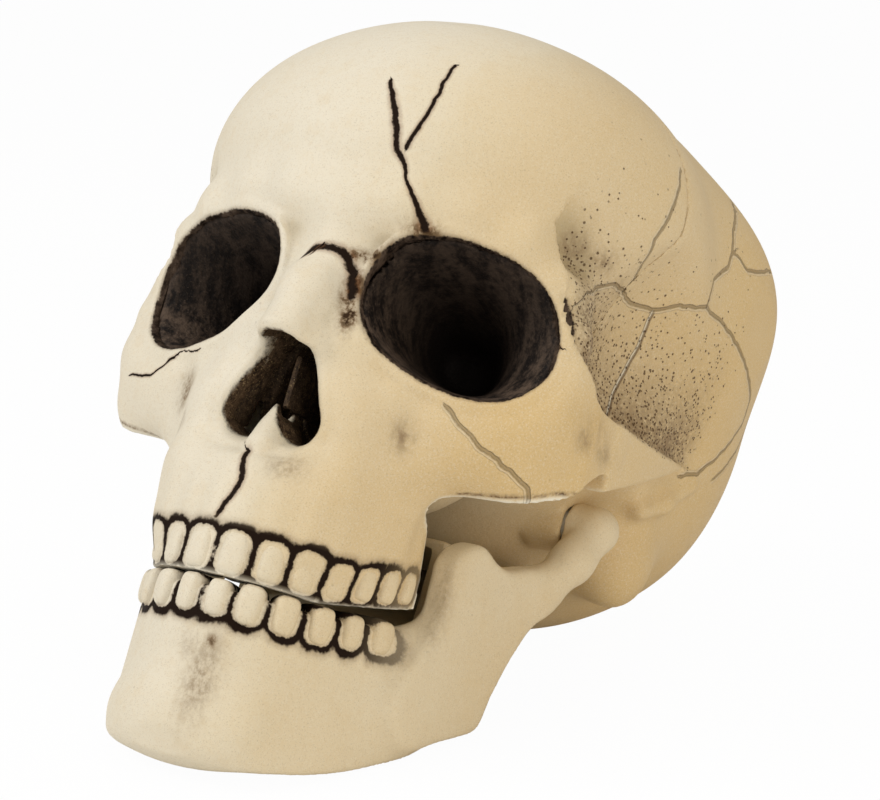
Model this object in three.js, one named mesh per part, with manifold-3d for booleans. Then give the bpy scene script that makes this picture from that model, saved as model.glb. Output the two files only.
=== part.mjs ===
// A plastic skull model, about life size, with a jaw that swings on two pins.
//
// The skull is drawn in its own upright frame: x runs to its left, y to the back of
// the head and z up, with the ear holes at the height of the origin. The whole group
// is then tipped back until the jaw and the back of the head stand on the table.
// Lengths are in millimetres.

import * as THREE from 'three';
import { mergeVertices } from 'three/addons/utils/BufferGeometryUtils.js';
import Module from 'manifold-3d';

const wasm = await Module();
wasm.setup();

// Driving sizes
const skullBreadth = 128; // widest part of the braincase
const skullLength = 176; // brow to the back of the head
const vaultHeight = 110; // ear holes to the crown
const faceWall = 3.0; // wall of the front moulding
const rearWall = 2.6; // wall of the rear moulding
const cupWall = 1.8; // wall of the eye and nose inserts
const clearance = 0.35; // between pieces that meet
const insertClearance = 0.7; // between an insert and the wall that it is cemented behind
const orbitDepth = 46; // depth of an eye socket behind its rim
const pinRadius = 2.5; // jaw pin
const pinHeadRadius = 4.4;
const pinHeadLength = 2.0;
const bushRadius = 4.6; // bush that the jaw pin turns in
const bushLength = 10.0;
const bossRadius = 7.0; // thick place in the rear moulding round the bush
const washerRadius = 5.6;
const washerLength = 1.2;
const pinGrip = 8.0; // how far a pin reaches into the jaw
const foramenRadius = 16; // opening under the braincase
const shortestEdge = 0.15; // shorter edges on a solid are drawn together
const footDepth = 0.8; // how much is planed off where the skull rests

// The tables below place things in shares of the three overall sizes, counted from the
// origin: so many 128ths of the breadth, 176ths of the length and 110ths of the height.
const breadthShares = 128;
const lengthShares = 176;
const heightShares = 110;
const across = skullBreadth / breadthShares;
const along = skullLength / lengthShares;
const upward = vaultHeight / heightShares;
const girth = Math.cbrt(across * along * upward);

// Round forms: centre, three half sizes and the blend with what came before
const vaultShares = [
  { centre: [0, -40, 58], half: [64, 54, 44.5], blend: 1 },
  { centre: [0, 13, 39], half: [61.7, 70.7, 72.4], blend: 20 },
  { centre: [35.6, 16.4, 59], half: [27.5, 30, 27.5], blend: 14 },
  { centre: [0, 28.5, 14.5], half: [50, 35, 36.5], blend: 16 },
  { centre: [0, -24, 14], half: [58, 44, 26], blend: 12 },
  { centre: [43, 6, -8], half: [10, 13, 13], blend: 10 },
];
const faceShares = [
  { centre: [0, -58, 10], half: [46, 30, 40], blend: 12 },
  { centre: [49, -66, -6], half: [10.5, 10.5, 14], blend: 6 },
  { centre: [0, -70, -30], half: [27, 28, 18], blend: 8 },
];

// Bars of bone: points with a radius, and the blend with what came before
const barShares = [
  { blend: 7, points: [[0, -87.5, 40, 6], [14, -85.5, 42, 6], [28, -81, 42, 6], [40, -76.5, 39, 6],
    [48.5, -71, 32, 5.5], [54, -67.5, 22, 4.6], [55.5, -66.5, 12, 4.8], [53.5, -67, 3, 6]] },
  { blend: 6, points: [[53, -67, 3, 6], [44, -73, -4, 6], [34, -78, -4, 6], [24, -82, -1, 6],
    [15, -85, 5, 5]] },
  { blend: 6, points: [[13, -84.5, 2, 7], [17, -85.5, -10, 8], [17, -86, -26, 9], [16, -86, -38, 9]] },
  { blend: 8, points: [[38, -74, -10, 8], [27, -76, -15, 8], [18.5, -74, -32, 7]] },
  { blend: 8, points: [[0, -86, 30, 5.4], [0, -93.8, 17, 6.2], [0, -98, 7, 6.3]] },
  { blend: 6, points: [[8, -83, 26, 5], [10.5, -88, 8, 5.5], [13, -88, -4, 6]] },
  { blend: 6, points: [[49, -64, 32, 5], [47, -60, 21, 6.5], [47, -60, 8, 6.5]] },
];
const barBlendShare = 4;

// The rows of teeth stand on the front half of an ellipse and rise towards their ends
const upperJawShares = {
  front: -96.3, half: 26.5, back: -61, wall: 4.2, low: -50.4, high: -24, rearEnd: -57.5, blend: 4,
  climb: 0.25, climbFrom: -88,
};
const lowerJawShares = {
  front: -96.5, half: 26.5, back: -61, wall: 4.2, top: -53,
  leanFrom: -52, leanOver: 30, frontLean: 1.5, halfLean: 4.5, backLean: 16,
  low: -88.7, rise: 26, riseFrom: -88, riseOver: 60, risePower: 1.25, rearEnd: -46, edge: 1.8,
  climb: 0.15, climbFrom: -88,
};
const chinShares = { centre: [0, -92, -82], half: [18, 7, 9], blend: 8 };

// Hollows: the temples, the space under each cheekbone and the seat of the jaw's head
const templeShares = { centre: [70, -40, 26], half: [18.5, 26, 26], blend: 10 };
const cheekHollowShares = { centre: [60, -35, -26], half: [24, 32, 27], blend: 4 };
const headSeatShares = { centre: [54, -17, -13], half: [12.5, 12, 15], blend: 4 };

// The cheekbone's arch, an upright plate that narrows towards the ear
const archShares = { from: -62, to: 4, outFrom: 59, outBow: 10, outTaper: 2, topFrom: 9.5, topRise: 4.5,
  lowFrom: -12, lowRise: 27, half: 3.0 };

// From the side, what is trimmed off the front moulding: behind the teeth and under the cheekbone
// and its arch
const trimShares = [[-62, -60], [-62, -42], [-62.5, -33], [-64.5, -26], [-69, -23], [-73, -21.5],
  [-74, -20], [-71, -17.5], [-66, -14.5], [-55, -10], [-42, -5], [-30, -0.5], [-15, 6], [0, 12],
  [8, 14], [12, -60]];

// Outlines of an eye socket and the nose opening, seen from the front
const orbitShares = [[28, 36], [40, 34.5], [48.5, 30], [53, 21], [52.5, 11], [47, 4], [38, 1.8], [27, 4],
  [18, 9], [12.8, 17], [12.5, 25], [17, 33]];
const orbitApexShares = [14, 14]; // where the socket narrows to, seen from the front
const orbitApexSizeShare = 0.3; // size of the socket at its end, as a share of its mouth
const noseShares = [[0, 5], [4, 4], [8, -3], [11.5, -9], [12.6, -13.5], [9.5, -17.5], [5, -17],
  [0, -14]];

// The jaw's branch from the side, its rake in plan, and its neck with the round head
const branchShares = [[-58.5, -36], [-58.5, -46], [-62, -54], [-66, -66], [-60, -72], [-50, -68.5],
  [-43, -65.5], [-39.5, -63], [-38, -56], [-35.5, -48], [-31, -38], [-24, -29], [-27, -25],
  [-34, -26.5], [-41, -29], [-47, -28.5], [-52, -26.5], [-56, -28], [-58.5, -31]];
const branchPlaneShares = { x: 38.1, y: -45, rake: 0.25, half: 3.4, edge: 1.8, blend: 8 };
const neckShares = {
  blend: 4, points: [[43, -27, -29, 4.0], [47.2, -22, -19, 4.6], [48.5, -16.5, -9.5, 5.4]],
};
const hingeShares = { x: 42.2, y: -16.5, z: -9.5 }; // inner face of the jaw's head, and the jaw's axis

// The throat block of the rear moulding, between the branches of the jaw
const throatShares = { front: -85, back: -4, top: -24, low: -51, rise: 20, riseFrom: -50, riseOver: 50,
  half: 12.6, flare: 0.36, flareFrom: -82, halfMost: 33 };
const skinOverrunShare = 6; // how far the front form runs past the parting before it is cut
const prongFromShare = -52; // where the arch's free prong starts inside the face
// The rims of the eye sockets lie on a bent sheet, with bone behind it all round
const orbitRimShares = {
  y: -92, bend: 0.0068, rings: [0, 0.14, 0.3, 0.5, 0.75, 1], outside: 1.5, to: -60, blend: 3,
};
const noseWellShares = { from: -112, cupFrom: -98, end: -74, middle: -8, taper: 0.8 };
const septumShares = { half: 0.9, from: -91, low: -15, high: 3 };
const socketShares = { mouth: -0.4, cupMouth: -0.1 };
const foramenShares = [0, 20];
const undersideShares = { low: -60, high: -30 };
const liningShares = { levels: [-100, -82, -68, -60.5], sweep: 0.92, branchAt: [-44, -34, -22, -12] };
const toothRowOverrunShare = 0.3; // how far a row of teeth runs on past the widest place, in radians
const snoutShares = { top: -4, low: -34, front: -84, upperFront: -68, step: -22, archInset: 0.8 };
const partingShare = -46; // where the front and rear mouldings meet over the dome

// Teeth: place along the row from the middle, width and height
const upperTeethShares = [[3.7, 7.4, 10.4], [10.9, 6.8, 9.6], [17.7, 6.6, 9.6], [24.3, 6.4, 9.0],
  [30.8, 6.4, 8.6], [37.3, 6.2, 8.2], [43.2, 5.4, 7.4]];
const lowerTeethShares = [[3.0, 6.0, 8.6], [9.6, 6.8, 9.0], [16.6, 7.0, 9.0], [24.0, 7.2, 8.6],
  [31.4, 6.8, 8.0], [39.8, 9.0, 7.8]];
const upperTeethShare = -45.4; // height of the middle of the row
const lowerTeethShare = -55.4;
const toothDepthShare = 4.8; // half depth of a tooth, from cheek to tongue
const toothEndShares = { top: 0.96, foot: 0.96 };
const toothSides = 8;
// Steps between the points of an outline
const outlineSteps = { orbit: 2, branch: 3, underside: 14, lining: 16 };
const turnSides = 20;
const foramenSides = 24;
const hollowSides = { around: 20, down: 14 };
const prongRings = 7;
const prongChamferShare = 1 / 3; // of the prong's height
const toothWalkSteps = 400; // steps in which a row is walked to find its teeth's places
const tipHalvings = 40; // times that the search for the resting tilt halves its range

// Grids on which the forms are turned into surfaces: stretches from one place to another with
// a step, across, along and upward
const headGridShares = [
  [[-72, 72, 6.6]],
  [[-110, -50, 5.6], [-50, -36, 5]],
  [[-56, 44, 5.8], [44, 116, 10]],
];
const cavityGridShares = [
  [[-72, 72, 8.2]],
  [[-110, -50, 7.2], [-50, -36, 5]],
  [[-56, 44, 7.6], [44, 116, 12]],
];
const rearGridShares = [
  [[-70, 70, 9]],
  [[-90, 0, 7], [0, 96, 12]],
  [[-57, 8, 6.8], [8, 116, 12]],
];
const hollowGridShares = [
  [[-70, 70, 11]],
  [[-90, 0, 9], [0, 96, 14]],
  [[-57, 8, 8.6], [8, 116, 15]],
];
const jawGridShares = [[[-56, 56, 4.5]], [[-106, 0, 4.4]], [[-96, 2, 4.4]]];

// Arithmetic of fields: a field is negative inside the form
const clamp = (v, low, high) => Math.min(Math.max(v, low), high);
const join = (a, b, k) => {
  const h = Math.max(k - Math.abs(a - b), 0) / k;
  return Math.min(a, b) - h * h * k * 0.25;
};
const cut = (a, b, k) => -join(-a, b, k);

function roundForm(p, form) {
  const q = [0, 1, 2].map((i) => (p[i] - form.centre[i]) / form.half[i]);
  const g = [0, 1, 2].map((i) => q[i] / form.half[i]);
  const k = Math.hypot(...q);
  return (k * (k - 1)) / Math.max(Math.hypot(...g), Number.EPSILON);
}

function bar(p, points, blend) {
  let field = Infinity;
  for (let i = 1; i < points.length; i += 1) {
    const [a, b] = [points[i - 1], points[i]];
    const run = [0, 1, 2].map((j) => b[j] - a[j]);
    const from = [0, 1, 2].map((j) => p[j] - a[j]);
    const square = run[0] ** 2 + run[1] ** 2 + run[2] ** 2;
    const t = clamp((from[0] * run[0] + from[1] * run[1] + from[2] * run[2]) / square, 0, 1);
    const off = Math.hypot(from[0] - t * run[0], from[1] - t * run[1], from[2] - t * run[2]);
    const one = off - (a[3] + (b[3] - a[3]) * t);
    field = field === Infinity ? one : join(field, one, blend);
  }
  return field;
}

// Distance to a closed outline in a plane, negative inside
function outlineField(u, v, points) {
  let square = Infinity;
  let sign = 1;
  for (let i = 0; i < points.length; i += 1) {
    const a = points[i];
    const b = points[(i + points.length - 1) % points.length];
    const e = [b[0] - a[0], b[1] - a[1]];
    const w = [u - a[0], v - a[1]];
    const t = clamp((w[0] * e[0] + w[1] * e[1]) / (e[0] ** 2 + e[1] ** 2), 0, 1);
    square = Math.min(square, (w[0] - e[0] * t) ** 2 + (w[1] - e[1] * t) ** 2);
    const tests = [v >= a[1], v < b[1], e[0] * w[1] > e[1] * w[0]];
    if (tests.every(Boolean) || !tests.some(Boolean)) {
      sign = -sign;
    }
  }
  return sign * Math.sqrt(square);
}

// A smooth closed outline through the points of a table
function smoothOutline(points, steps) {
  const curve = new THREE.CatmullRomCurve3(points.map(([u, v]) => new THREE.Vector3(u, v, 0)), true);
  return curve.getPoints(points.length * steps).slice(0, -1).map((p) => [p.x, p.y]);
}

// Signed distance, in plan, from an elliptic row
function rowField(p, front, half, back) {
  const y = Math.min(p[1] - back, 0);
  const depth = back - front;
  const q = Math.hypot(p[0] / half, y / depth);
  const g = Math.hypot(p[0] / half ** 2, y / depth ** 2);
  return (q * (q - 1)) / Math.max(g, Number.EPSILON);
}

// A wall's field from its distance across and its distance past its ends
function slab(acrossWall, pastEnd, edge) {
  const [a, b] = [acrossWall + edge, pastEnd + edge];
  return Math.min(Math.max(a, b), 0) + Math.hypot(Math.max(a, 0), Math.max(b, 0)) - edge;
}

function vaultField(p) {
  let field = Infinity;
  for (const form of vaultShares) {
    const one = roundForm(p, form);
    field = field === Infinity ? one : join(field, one, form.blend);
  }
  return cut(field, roundForm(p, templeShares), templeShares.blend);
}

function archField(p) {
  const s = archShares;
  const t = clamp((p[1] - s.from) / (s.to - s.from), 0, 1);
  const middle = s.outFrom + s.outBow * t * (1 - t) - s.outTaper * t;
  const top = s.topFrom + s.topRise * t * t;
  const low = s.lowFrom + s.lowRise * t;
  const side = Math.abs(p[0] - middle) - s.half;
  const height = Math.abs(p[2] - (top + low) / 2) - (top - low) / 2;
  return Math.max(side, height, s.from - p[1], p[1] - s.to);
}

// How far a row has climbed at some place along it
const climbed = (row, y) => row.climb * Math.max(y - row.climbFrom, 0);

// Bone behind the bent sheet on which the rim of an eye socket lies
function rimField(p) {
  const s = orbitRimShares;
  const sheet = s.y + s.bend * p[0] * p[0];
  return Math.max(outlineField(p[0], p[2], orbitOutline) - s.outside, sheet - p[1], p[1] - s.to);
}

// The head's outer form with no openings
function headField(point) {
  const p = [Math.abs(point[0]), point[1], point[2]];
  let field = vaultField(p);
  for (const form of faceShares) {
    field = join(field, roundForm(p, form), form.blend);
  }
  for (const one of barShares) {
    field = join(field, bar(p, one.points, barBlendShare), one.blend);
  }
  const u = upperJawShares;
  const row = Math.abs(rowField(p, u.front, u.half, u.back)) - u.wall;
  const past = Math.max(u.low + climbed(u, p[1]) - p[2], p[2] - u.high, p[1] - u.rearEnd);
  field = join(field, slab(row, past, 0), u.blend);
  field = join(field, rimField(p), orbitRimShares.blend);
  field = cut(field, roundForm(p, templeShares), templeShares.blend);
  return join(field, archField(p), templeShares.blend);
}

function hollowField(p) {
  return join(roundForm(p, cheekHollowShares), roundForm(p, headSeatShares), headSeatShares.blend);
}

function throatField(p) {
  const s = throatShares;
  const half = Math.min(s.half + s.flare * Math.max(p[1] - s.flareFrom, 0), s.halfMost);
  const low = s.low + s.rise * clamp((p[1] - s.riseFrom) / s.riseOver, 0, 1);
  return Math.max(p[0] - half, low - p[2], p[2] - s.top, s.front - p[1], p[1] - s.back);
}

// The rear moulding: braincase, throat block and the snout that fills the face from behind
function rearField(point) {
  const p = [Math.abs(point[0]), point[1], point[2]];
  const s = snoutShares;
  const arch = archField(p) + s.archInset;
  const vault = Math.max(join(vaultField(p), arch, templeShares.blend), s.upperFront - p[1]);
  const inset = (faceWall + clearance) / girth;
  const upperFront = Math.min(p[2] - s.step, s.upperFront - p[1]);
  const snout = Math.max(headField(p) + inset, p[2] - s.top, s.low - p[2], p[1] - throatShares.back,
    s.front - p[1], upperFront);
  const field = Math.min(vault, snout, throatField(p));
  return cut(field, hollowField(p), cheekHollowShares.blend);
}

function jawField(point) {
  const p = [Math.abs(point[0]), point[1], point[2]];
  const s = lowerJawShares;
  const lean = clamp((s.leanFrom - p[2]) / s.leanOver, 0, 1);
  const low = s.low + s.rise * clamp((p[1] - s.riseFrom) / s.riseOver, 0, 1) ** s.risePower;
  const row = Math.abs(rowField(p, s.front + s.frontLean * lean, s.half + s.halfLean * lean,
    s.back + s.backLean * lean)) - s.wall;
  const top = s.top + climbed(s, p[1]);
  let field = slab(row, Math.max(low - p[2], p[2] - top, p[1] - s.rearEnd), s.edge);
  const b = branchPlaneShares;
  const side = Math.abs(p[0] - b.x - b.rake * (p[1] - b.y)) - b.half;
  field = join(field, slab(side, outlineField(p[1], p[2], branchOutline) - b.edge, b.edge), b.blend);
  field = join(field, bar(p, neckShares.points, neckShares.blend), neckShares.blend);
  return join(field, roundForm(p, chinShares), chinShares.blend);
}

const branchOutline = smoothOutline(branchShares, outlineSteps.branch);
const orbitOutline = smoothOutline(orbitShares, outlineSteps.orbit);

// Where the inside touches itself only across the diagonal of a grid square, one more corner goes inside
function withoutDiagonals(values, sizes, steps) {
  for (let again = true; again;) {
    again = false;
    for (let n = 0; n < values.length; n += 1) {
      const here = steps.map((step, axis) => Math.floor(n / step) % sizes[axis]);
      for (const [u, v] of [[0, 1], [1, 2], [2, 0]]) {
        if (here[u] + 1 >= sizes[u] || here[v] + 1 >= sizes[v]) {
          continue;
        }
        const square = [n, n + steps[u], n + steps[u] + steps[v], n + steps[v]];
        const [a, b, c, d] = square.map((m) => values[m] < 0);
        if (a === c && b === d && a !== b) {
          const outside = square.filter((m) => values[m] >= 0);
          const nearest = values[outside[0]] < values[outside[1]] ? outside[0] : outside[1];
          values[nearest] = -Math.max(values[nearest], Number.EPSILON);
          again = true;
        }
      }
    }
  }
}

// Turns a field into a closed mesh: one point in each cell that the surface crosses
function skin(field, gridShares) {
  const [xs, ys, zs] = gridShares.map(planes);
  const [nx, ny, nz] = [xs.length, ys.length, zs.length];
  const index = (i, j, k) => (i * ny + j) * nz + k;
  const values = new Float64Array(nx * ny * nz);
  for (let i = 0; i < nx; i += 1) {
    for (let j = 0; j < ny; j += 1) {
      for (let k = 0; k < nz; k += 1) {
        values[index(i, j, k)] = field([xs[i], ys[j], zs[k]]);
      }
    }
  }
  const steps = [ny * nz, nz, 1];
  const sizes = [nx, ny, nz];
  withoutDiagonals(values, sizes, steps);
  const cells = new Int32Array(nx * ny * nz).fill(-1);
  const points = [];
  const corners = [0, 1, 2, 3, 4, 5, 6, 7].map((c) => [c & 1, (c >> 1) & 1, (c >> 2) & 1]);
  for (let i = 0; i < nx - 1; i += 1) {
    for (let j = 0; j < ny - 1; j += 1) {
      for (let k = 0; k < nz - 1; k += 1) {
        const sum = [0, 0, 0];
        let count = 0;
        for (const a of corners) {
          for (let axis = 0; axis < 3; axis += 1) {
            if (a[axis] === 1) {
              continue;
            }
            const b = a.map((v, n) => (n === axis ? 1 : v));
            const va = values[index(i + a[0], j + a[1], k + a[2])];
            const vb = values[index(i + b[0], j + b[1], k + b[2])];
            if (va < 0 === vb < 0) {
              continue;
            }
            const t = va / (va - vb);
            const at = a.map((v, n) => (n === axis ? t : v));
            sum[0] += xs[i] + at[0] * (xs[i + 1] - xs[i]);
            sum[1] += ys[j] + at[1] * (ys[j + 1] - ys[j]);
            sum[2] += zs[k] + at[2] * (zs[k + 1] - zs[k]);
            count += 1;
          }
        }
        if (count > 0) {
          cells[index(i, j, k)] = points.length / 3;
          points.push((sum[0] / count) * across, (sum[1] / count) * along, (sum[2] / count) * upward);
        }
      }
    }
  }
  const triangles = [];
  for (let i = 0; i < nx; i += 1) {
    for (let j = 0; j < ny; j += 1) {
      for (let k = 0; k < nz; k += 1) {
        const here = [i, j, k];
        for (let axis = 0; axis < 3; axis += 1) {
          const [u, v] = [(axis + 1) % 3, (axis + 2) % 3];
          if (here[axis] + 1 >= sizes[axis] || here[u] === 0 || here[v] === 0) {
            continue;
          }
          const n = index(i, j, k);
          const inside = values[n] < 0;
          if (inside === values[n + steps[axis]] < 0) {
            continue;
          }
          const quad = [cells[n - steps[u] - steps[v]], cells[n - steps[v]], cells[n], cells[n - steps[u]]];
          if (!inside) {
            quad.reverse();
          }
          const gap = (a, b) => Math.hypot(...[0, 1, 2].map((c) => points[a * 3 + c] - points[b * 3 + c]));
          const firstShorter = gap(quad[0], quad[2]) < gap(quad[1], quad[3]);
          const order = firstShorter ? [0, 1, 2, 0, 2, 3] : [1, 2, 3, 1, 3, 0];
          triangles.push(...order.map((m) => quad[m]));
        }
      }
    }
  }
  return solidFrom(points, triangles);
}

// Grid planes from one place to another, with a step that may change on the way
function planes(stretches) {
  const out = [stretches[0][0]];
  for (const [from, to, step] of stretches) {
    const count = Math.max(Math.round((to - from) / step), 1);
    for (let i = 1; i <= count; i += 1) {
      out.push(from + ((to - from) * i) / count);
    }
  }
  return out;
}

// Solids that can be joined and cut
const axes = ['x', 'y', 'z'];
function solidFrom(points, triangles) {
  return new wasm.Manifold(new wasm.Mesh({
    numProp: axes.length,
    vertProperties: Float32Array.from(points),
    triVerts: Uint32Array.from(triangles),
  }));
}

function solidOf(geometry) {
  const plain = geometry.clone();
  plain.deleteAttribute('normal');
  plain.deleteAttribute('uv');
  const merged = mergeVertices(plain);
  return solidFrom(merged.attributes.position.array, merged.index.array);
}

function box(low, high) {
  const size = high.map((v, i) => v - low[i]);
  const geometry = new THREE.BoxGeometry(...size);
  geometry.translate(...low.map((v, i) => v + size[i] / 2));
  return solidOf(geometry);
}

// A solid of revolution along x from pairs of place and radius
function turned(profile, y, z) {
  const points = profile.map(([at, radius]) => new THREE.Vector2(radius, at));
  const geometry = new THREE.LatheGeometry(points, turnSides);
  geometry.rotateZ(-Math.PI / 2);
  geometry.translate(0, y, z);
  return solidOf(geometry);
}

function mirrored(solid) {
  const mesh = solid.getMesh();
  const points = Array.from(mesh.vertProperties, (v, i) => (i % 3 === 0 ? -v : v));
  return solidFrom(points, Array.from(mesh.triVerts).reverse());
}

function ellipsoid(form, around, down) {
  const geometry = new THREE.SphereGeometry(1, around, down);
  geometry.scale(...place(form.half));
  geometry.translate(...place(form.centre));
  return solidOf(geometry);
}

// Moves every point of a closed mesh along its normal
function swollen(solid, distance) {
  const mesh = solid.getMesh();
  const geometry = new THREE.BufferGeometry();
  geometry.setAttribute('position', new THREE.BufferAttribute(Float32Array.from(mesh.vertProperties), 3));
  geometry.setIndex(Array.from(mesh.triVerts));
  geometry.computeVertexNormals();
  const [at, n] = [geometry.attributes.position.array, geometry.attributes.normal.array];
  return solidFrom(at.map((v, i) => v + n[i] * distance), mesh.triVerts);
}

// Rings of equally many points become one closed solid
function loft(rings, plane = [0, 2]) {
  const points = rings.flat(2);
  const count = rings[0].length;
  const triangles = [];
  for (let r = 0; r < rings.length - 1; r += 1) {
    for (let i = 0; i < count; i += 1) {
      const [a, b] = [r * count + i, r * count + ((i + 1) % count)];
      triangles.push(a, b, b + count, a, b + count, a + count);
    }
  }
  const flat = rings[0].map((p) => new THREE.Vector2(p[plane[0]], p[plane[1]]));
  const end = (rings.length - 1) * count;
  const faces = THREE.ShapeUtils.triangulateShape([...flat], []);
  const [i0, j0, k0] = faces[0];
  const sameWay = THREE.ShapeUtils.area([flat[i0], flat[j0], flat[k0]]) * THREE.ShapeUtils.area(flat) > 0;
  for (const face of faces) {
    const [i, j, k] = sameWay ? face : [...face].reverse();
    triangles.push(k, j, i, end + i, end + j, end + k);
  }
  const volume = signedVolume(points, triangles);
  return solidFrom(points, volume > 0 ? triangles : triangles.reverse());
}

function signedVolume(points, triangles) {
  let sum = 0;
  for (let i = 0; i < triangles.length; i += 3) {
    const [a, b, c] = [0, 1, 2].map((n) => new THREE.Vector3().fromArray(points, triangles[i + n] * 3));
    sum += a.dot(b.cross(c)) / 6;
  }
  return sum;
}

// Millimetres from shares of the three overall sizes
const place = ([x, y, z]) => [x * across, y * along, z * upward];
const everythingShares = [100, 140, 140]; // half sizes of a box round the whole skull

// A block that holds everything in front of or behind a plane
function frontOf(y) {
  const far = place(everythingShares);
  return box([-far[0], -far[1], -far[2]], [far[0], y, far[2]]);
}
function behind(y) {
  const far = place(everythingShares);
  return box([-far[0], y, -far[2]], [far[0], far[1], far[2]]);
}

// An eye socket's space, from in front of its rim to its end, with walls moved out by some distance
function socket(grow, start) {
  const outline = orbitOutline;
  const [apexX, apexZ] = orbitApexShares;
  const depth = orbitDepth / along;
  const rings = [];
  for (const t of [start, ...orbitRimShares.rings]) {
    const size = 1 - (1 - orbitApexSizeShare) * Math.max(t, 0);
    rings.push(outline.map(([u, v], i) => {
      const before = outline[(i + outline.length - 1) % outline.length];
      const after = outline[(i + 1) % outline.length];
      const tangent = new THREE.Vector2(after[0] - before[0], after[1] - before[1]).normalize();
      const rim = orbitRimShares.y + orbitRimShares.bend * u * u;
      const apexY = orbitRimShares.y + depth;
      const y = t < 0 ? rim + t * depth : rim + (apexY - rim) * t;
      const wide = grow / girth;
      const x = apexX + (u - apexX) * size - tangent.y * wide;
      const z = apexZ + (v - apexZ) * size + tangent.x * wide;
      return place([x, y + (t === 1 ? wide : 0), z]);
    }));
  }
  return loft(rings);
}

// The nose's space, a straight well with the outline of its opening
function noseWell(grow, start) {
  const half = noseShares.map(([u, v]) => [u, v]);
  const outline = [...half, ...half.slice(1, -1).reverse().map(([u, v]) => [-u, v])];
  const middle = noseWellShares.middle;
  const wide = grow / girth;
  const rings = [start, noseWellShares.end + wide].map((y, n) => outline.map(([u, v]) => {
    const from = Math.hypot(u, v - middle);
    const size = (n === 0 ? 1 : noseWellShares.taper) + wide / from;
    return place([u * size, y, middle + (v - middle) * size]);
  }));
  return loft(rings);
}

// A tooth: a squarish round form set square to the row
function tooth([x, y, z], angle, width, height) {
  const geometry = new THREE.CylinderGeometry(toothEndShares.top, toothEndShares.foot, 1, toothSides);
  geometry.rotateY(Math.PI / toothSides);
  geometry.rotateX(Math.PI / 2);
  geometry.scale((width / 2) * girth, toothDepthShare * girth, height * girth);
  geometry.rotateZ(angle);
  geometry.translate(...place([x, y, z]));
  return solidOf(geometry);
}

// Walks along a row and sets its teeth on both sides
function teeth(row, table, z) {
  const depth = row.back - row.front;
  let run = 0;
  let last = [0, row.front];
  const waiting = [...table];
  let set = null;
  for (let i = 1; i <= toothWalkSteps && waiting.length > 0; i += 1) {
    const a = (i / toothWalkSteps) * (Math.PI / 2 + toothRowOverrunShare);
    const here = [row.half * Math.sin(a), row.back - depth * Math.cos(a)];
    run += Math.hypot(here[0] - last[0], here[1] - last[1]);
    last = here;
    if (run >= waiting[0][0]) {
      const [, width, height] = waiting.shift();
      const angle = Math.atan2(depth * Math.sin(a), row.half * Math.cos(a));
      const middle = z + climbed(row, here[1]);
      for (const side of [1, -1]) {
        const one = tooth([side * here[0], here[1], middle], side * angle, width, height);
        set = set ? set.add(one) : one;
      }
    }
  }
  return set;
}

// The cheekbone's arch behind the parting, as a run of four-sided sections
function prong(side) {
  const s = archShares;
  const rings = [];
  for (let i = 0; i <= prongRings; i += 1) {
    const y = prongFromShare + ((s.to - prongFromShare) * i) / prongRings;
    const t = (y - s.from) / (s.to - s.from);
    const middle = s.outFrom + s.outBow * t * (1 - t) - s.outTaper * t;
    const top = s.topFrom + s.topRise * t * t;
    const low = s.lowFrom + s.lowRise * t;
    const [inner, outer] = [middle - s.half, middle + s.half];
    const chamfer = Math.min(s.half, (top - low) * prongChamferShare);
    const section = [[inner, low], [outer - chamfer, low], [outer, low + chamfer], [outer, top - chamfer],
      [outer - chamfer, top], [inner, top]];
    rings.push(section.map(([x, z]) => place([side * x, y, z])));
  }
  return loft(rings);
}

// An upright prism from an outline in plan
function prism(outline, low, high) {
  const shape = new THREE.Shape(outline.map(([x, y]) => new THREE.Vector2(x * across, y * along)));
  const geometry = new THREE.ExtrudeGeometry(shape, { depth: (high - low) * upward, bevelEnabled: false });
  geometry.translate(0, 0, low * upward);
  return solidOf(geometry);
}

// What is trimmed off the front moulding, right across the skull
function trim() {
  const far = everythingShares[0];
  return loft([-far, far].map((x) => trimShares.map(([y, z]) => place([x, y, z]))), [1, 2]);
}

// The outline, in plan, of everything on the tongue's side of a row, run back to some place
function tongueSide(half, front, back, rear, steps) {
  const outline = [];
  for (let i = 0; i <= steps; i += 1) {
    const a = -Math.PI / 2 + (Math.PI * i) / steps;
    outline.push([half * Math.sin(a), back - (back - front) * Math.cos(a)]);
  }
  outline.push([half, rear], [-half, rear]);
  return outline;
}

// The inside of the upper row and what lies below it, open downwards
function underside() {
  const u = upperJawShares;
  const inside = u.wall - faceWall / girth;
  const steps = outlineSteps.underside;
  const outline = tongueSide(u.half + inside, u.front - inside, u.back, partingShare, steps);
  return prism(outline, undersideShares.low, undersideShares.high);
}

// The space that the jaw's lining fills: the tongue's side of a sheet that leans out downwards
function liningSide(offset) {
  const s = lowerJawShares;
  const shift = offset / girth;
  const last = liningShares.levels.length - 1;
  const rings = liningShares.levels.map((z, level) => {
    const lean = clamp((s.leanFrom - z) / s.leanOver, 0, 1);
    const half = s.half + s.halfLean * lean - shift;
    const front = s.front + s.frontLean * lean + shift;
    const back = s.back + s.backLean * lean;
    const row = [];
    for (let i = 0; i <= outlineSteps.lining; i += 1) {
      const a = (Math.PI / 2) * (i / outlineSteps.lining) * liningShares.sweep;
      row.push([half * Math.sin(a), back - (back - front) * Math.cos(a)]);
    }
    for (const y of liningShares.branchAt) {
      row.push([branchPlaneShares.x + branchPlaneShares.rake * (y - branchPlaneShares.y) - shift, y]);
    }
    const other = row.slice(1).reverse().map(([x, y]) => [-x, y]);
    const height = level === last ? z - shift : z;
    return [...other, ...row].map(([x, y]) => place([x, y, height]));
  });
  return loft(rings, [0, 1]);
}

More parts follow.
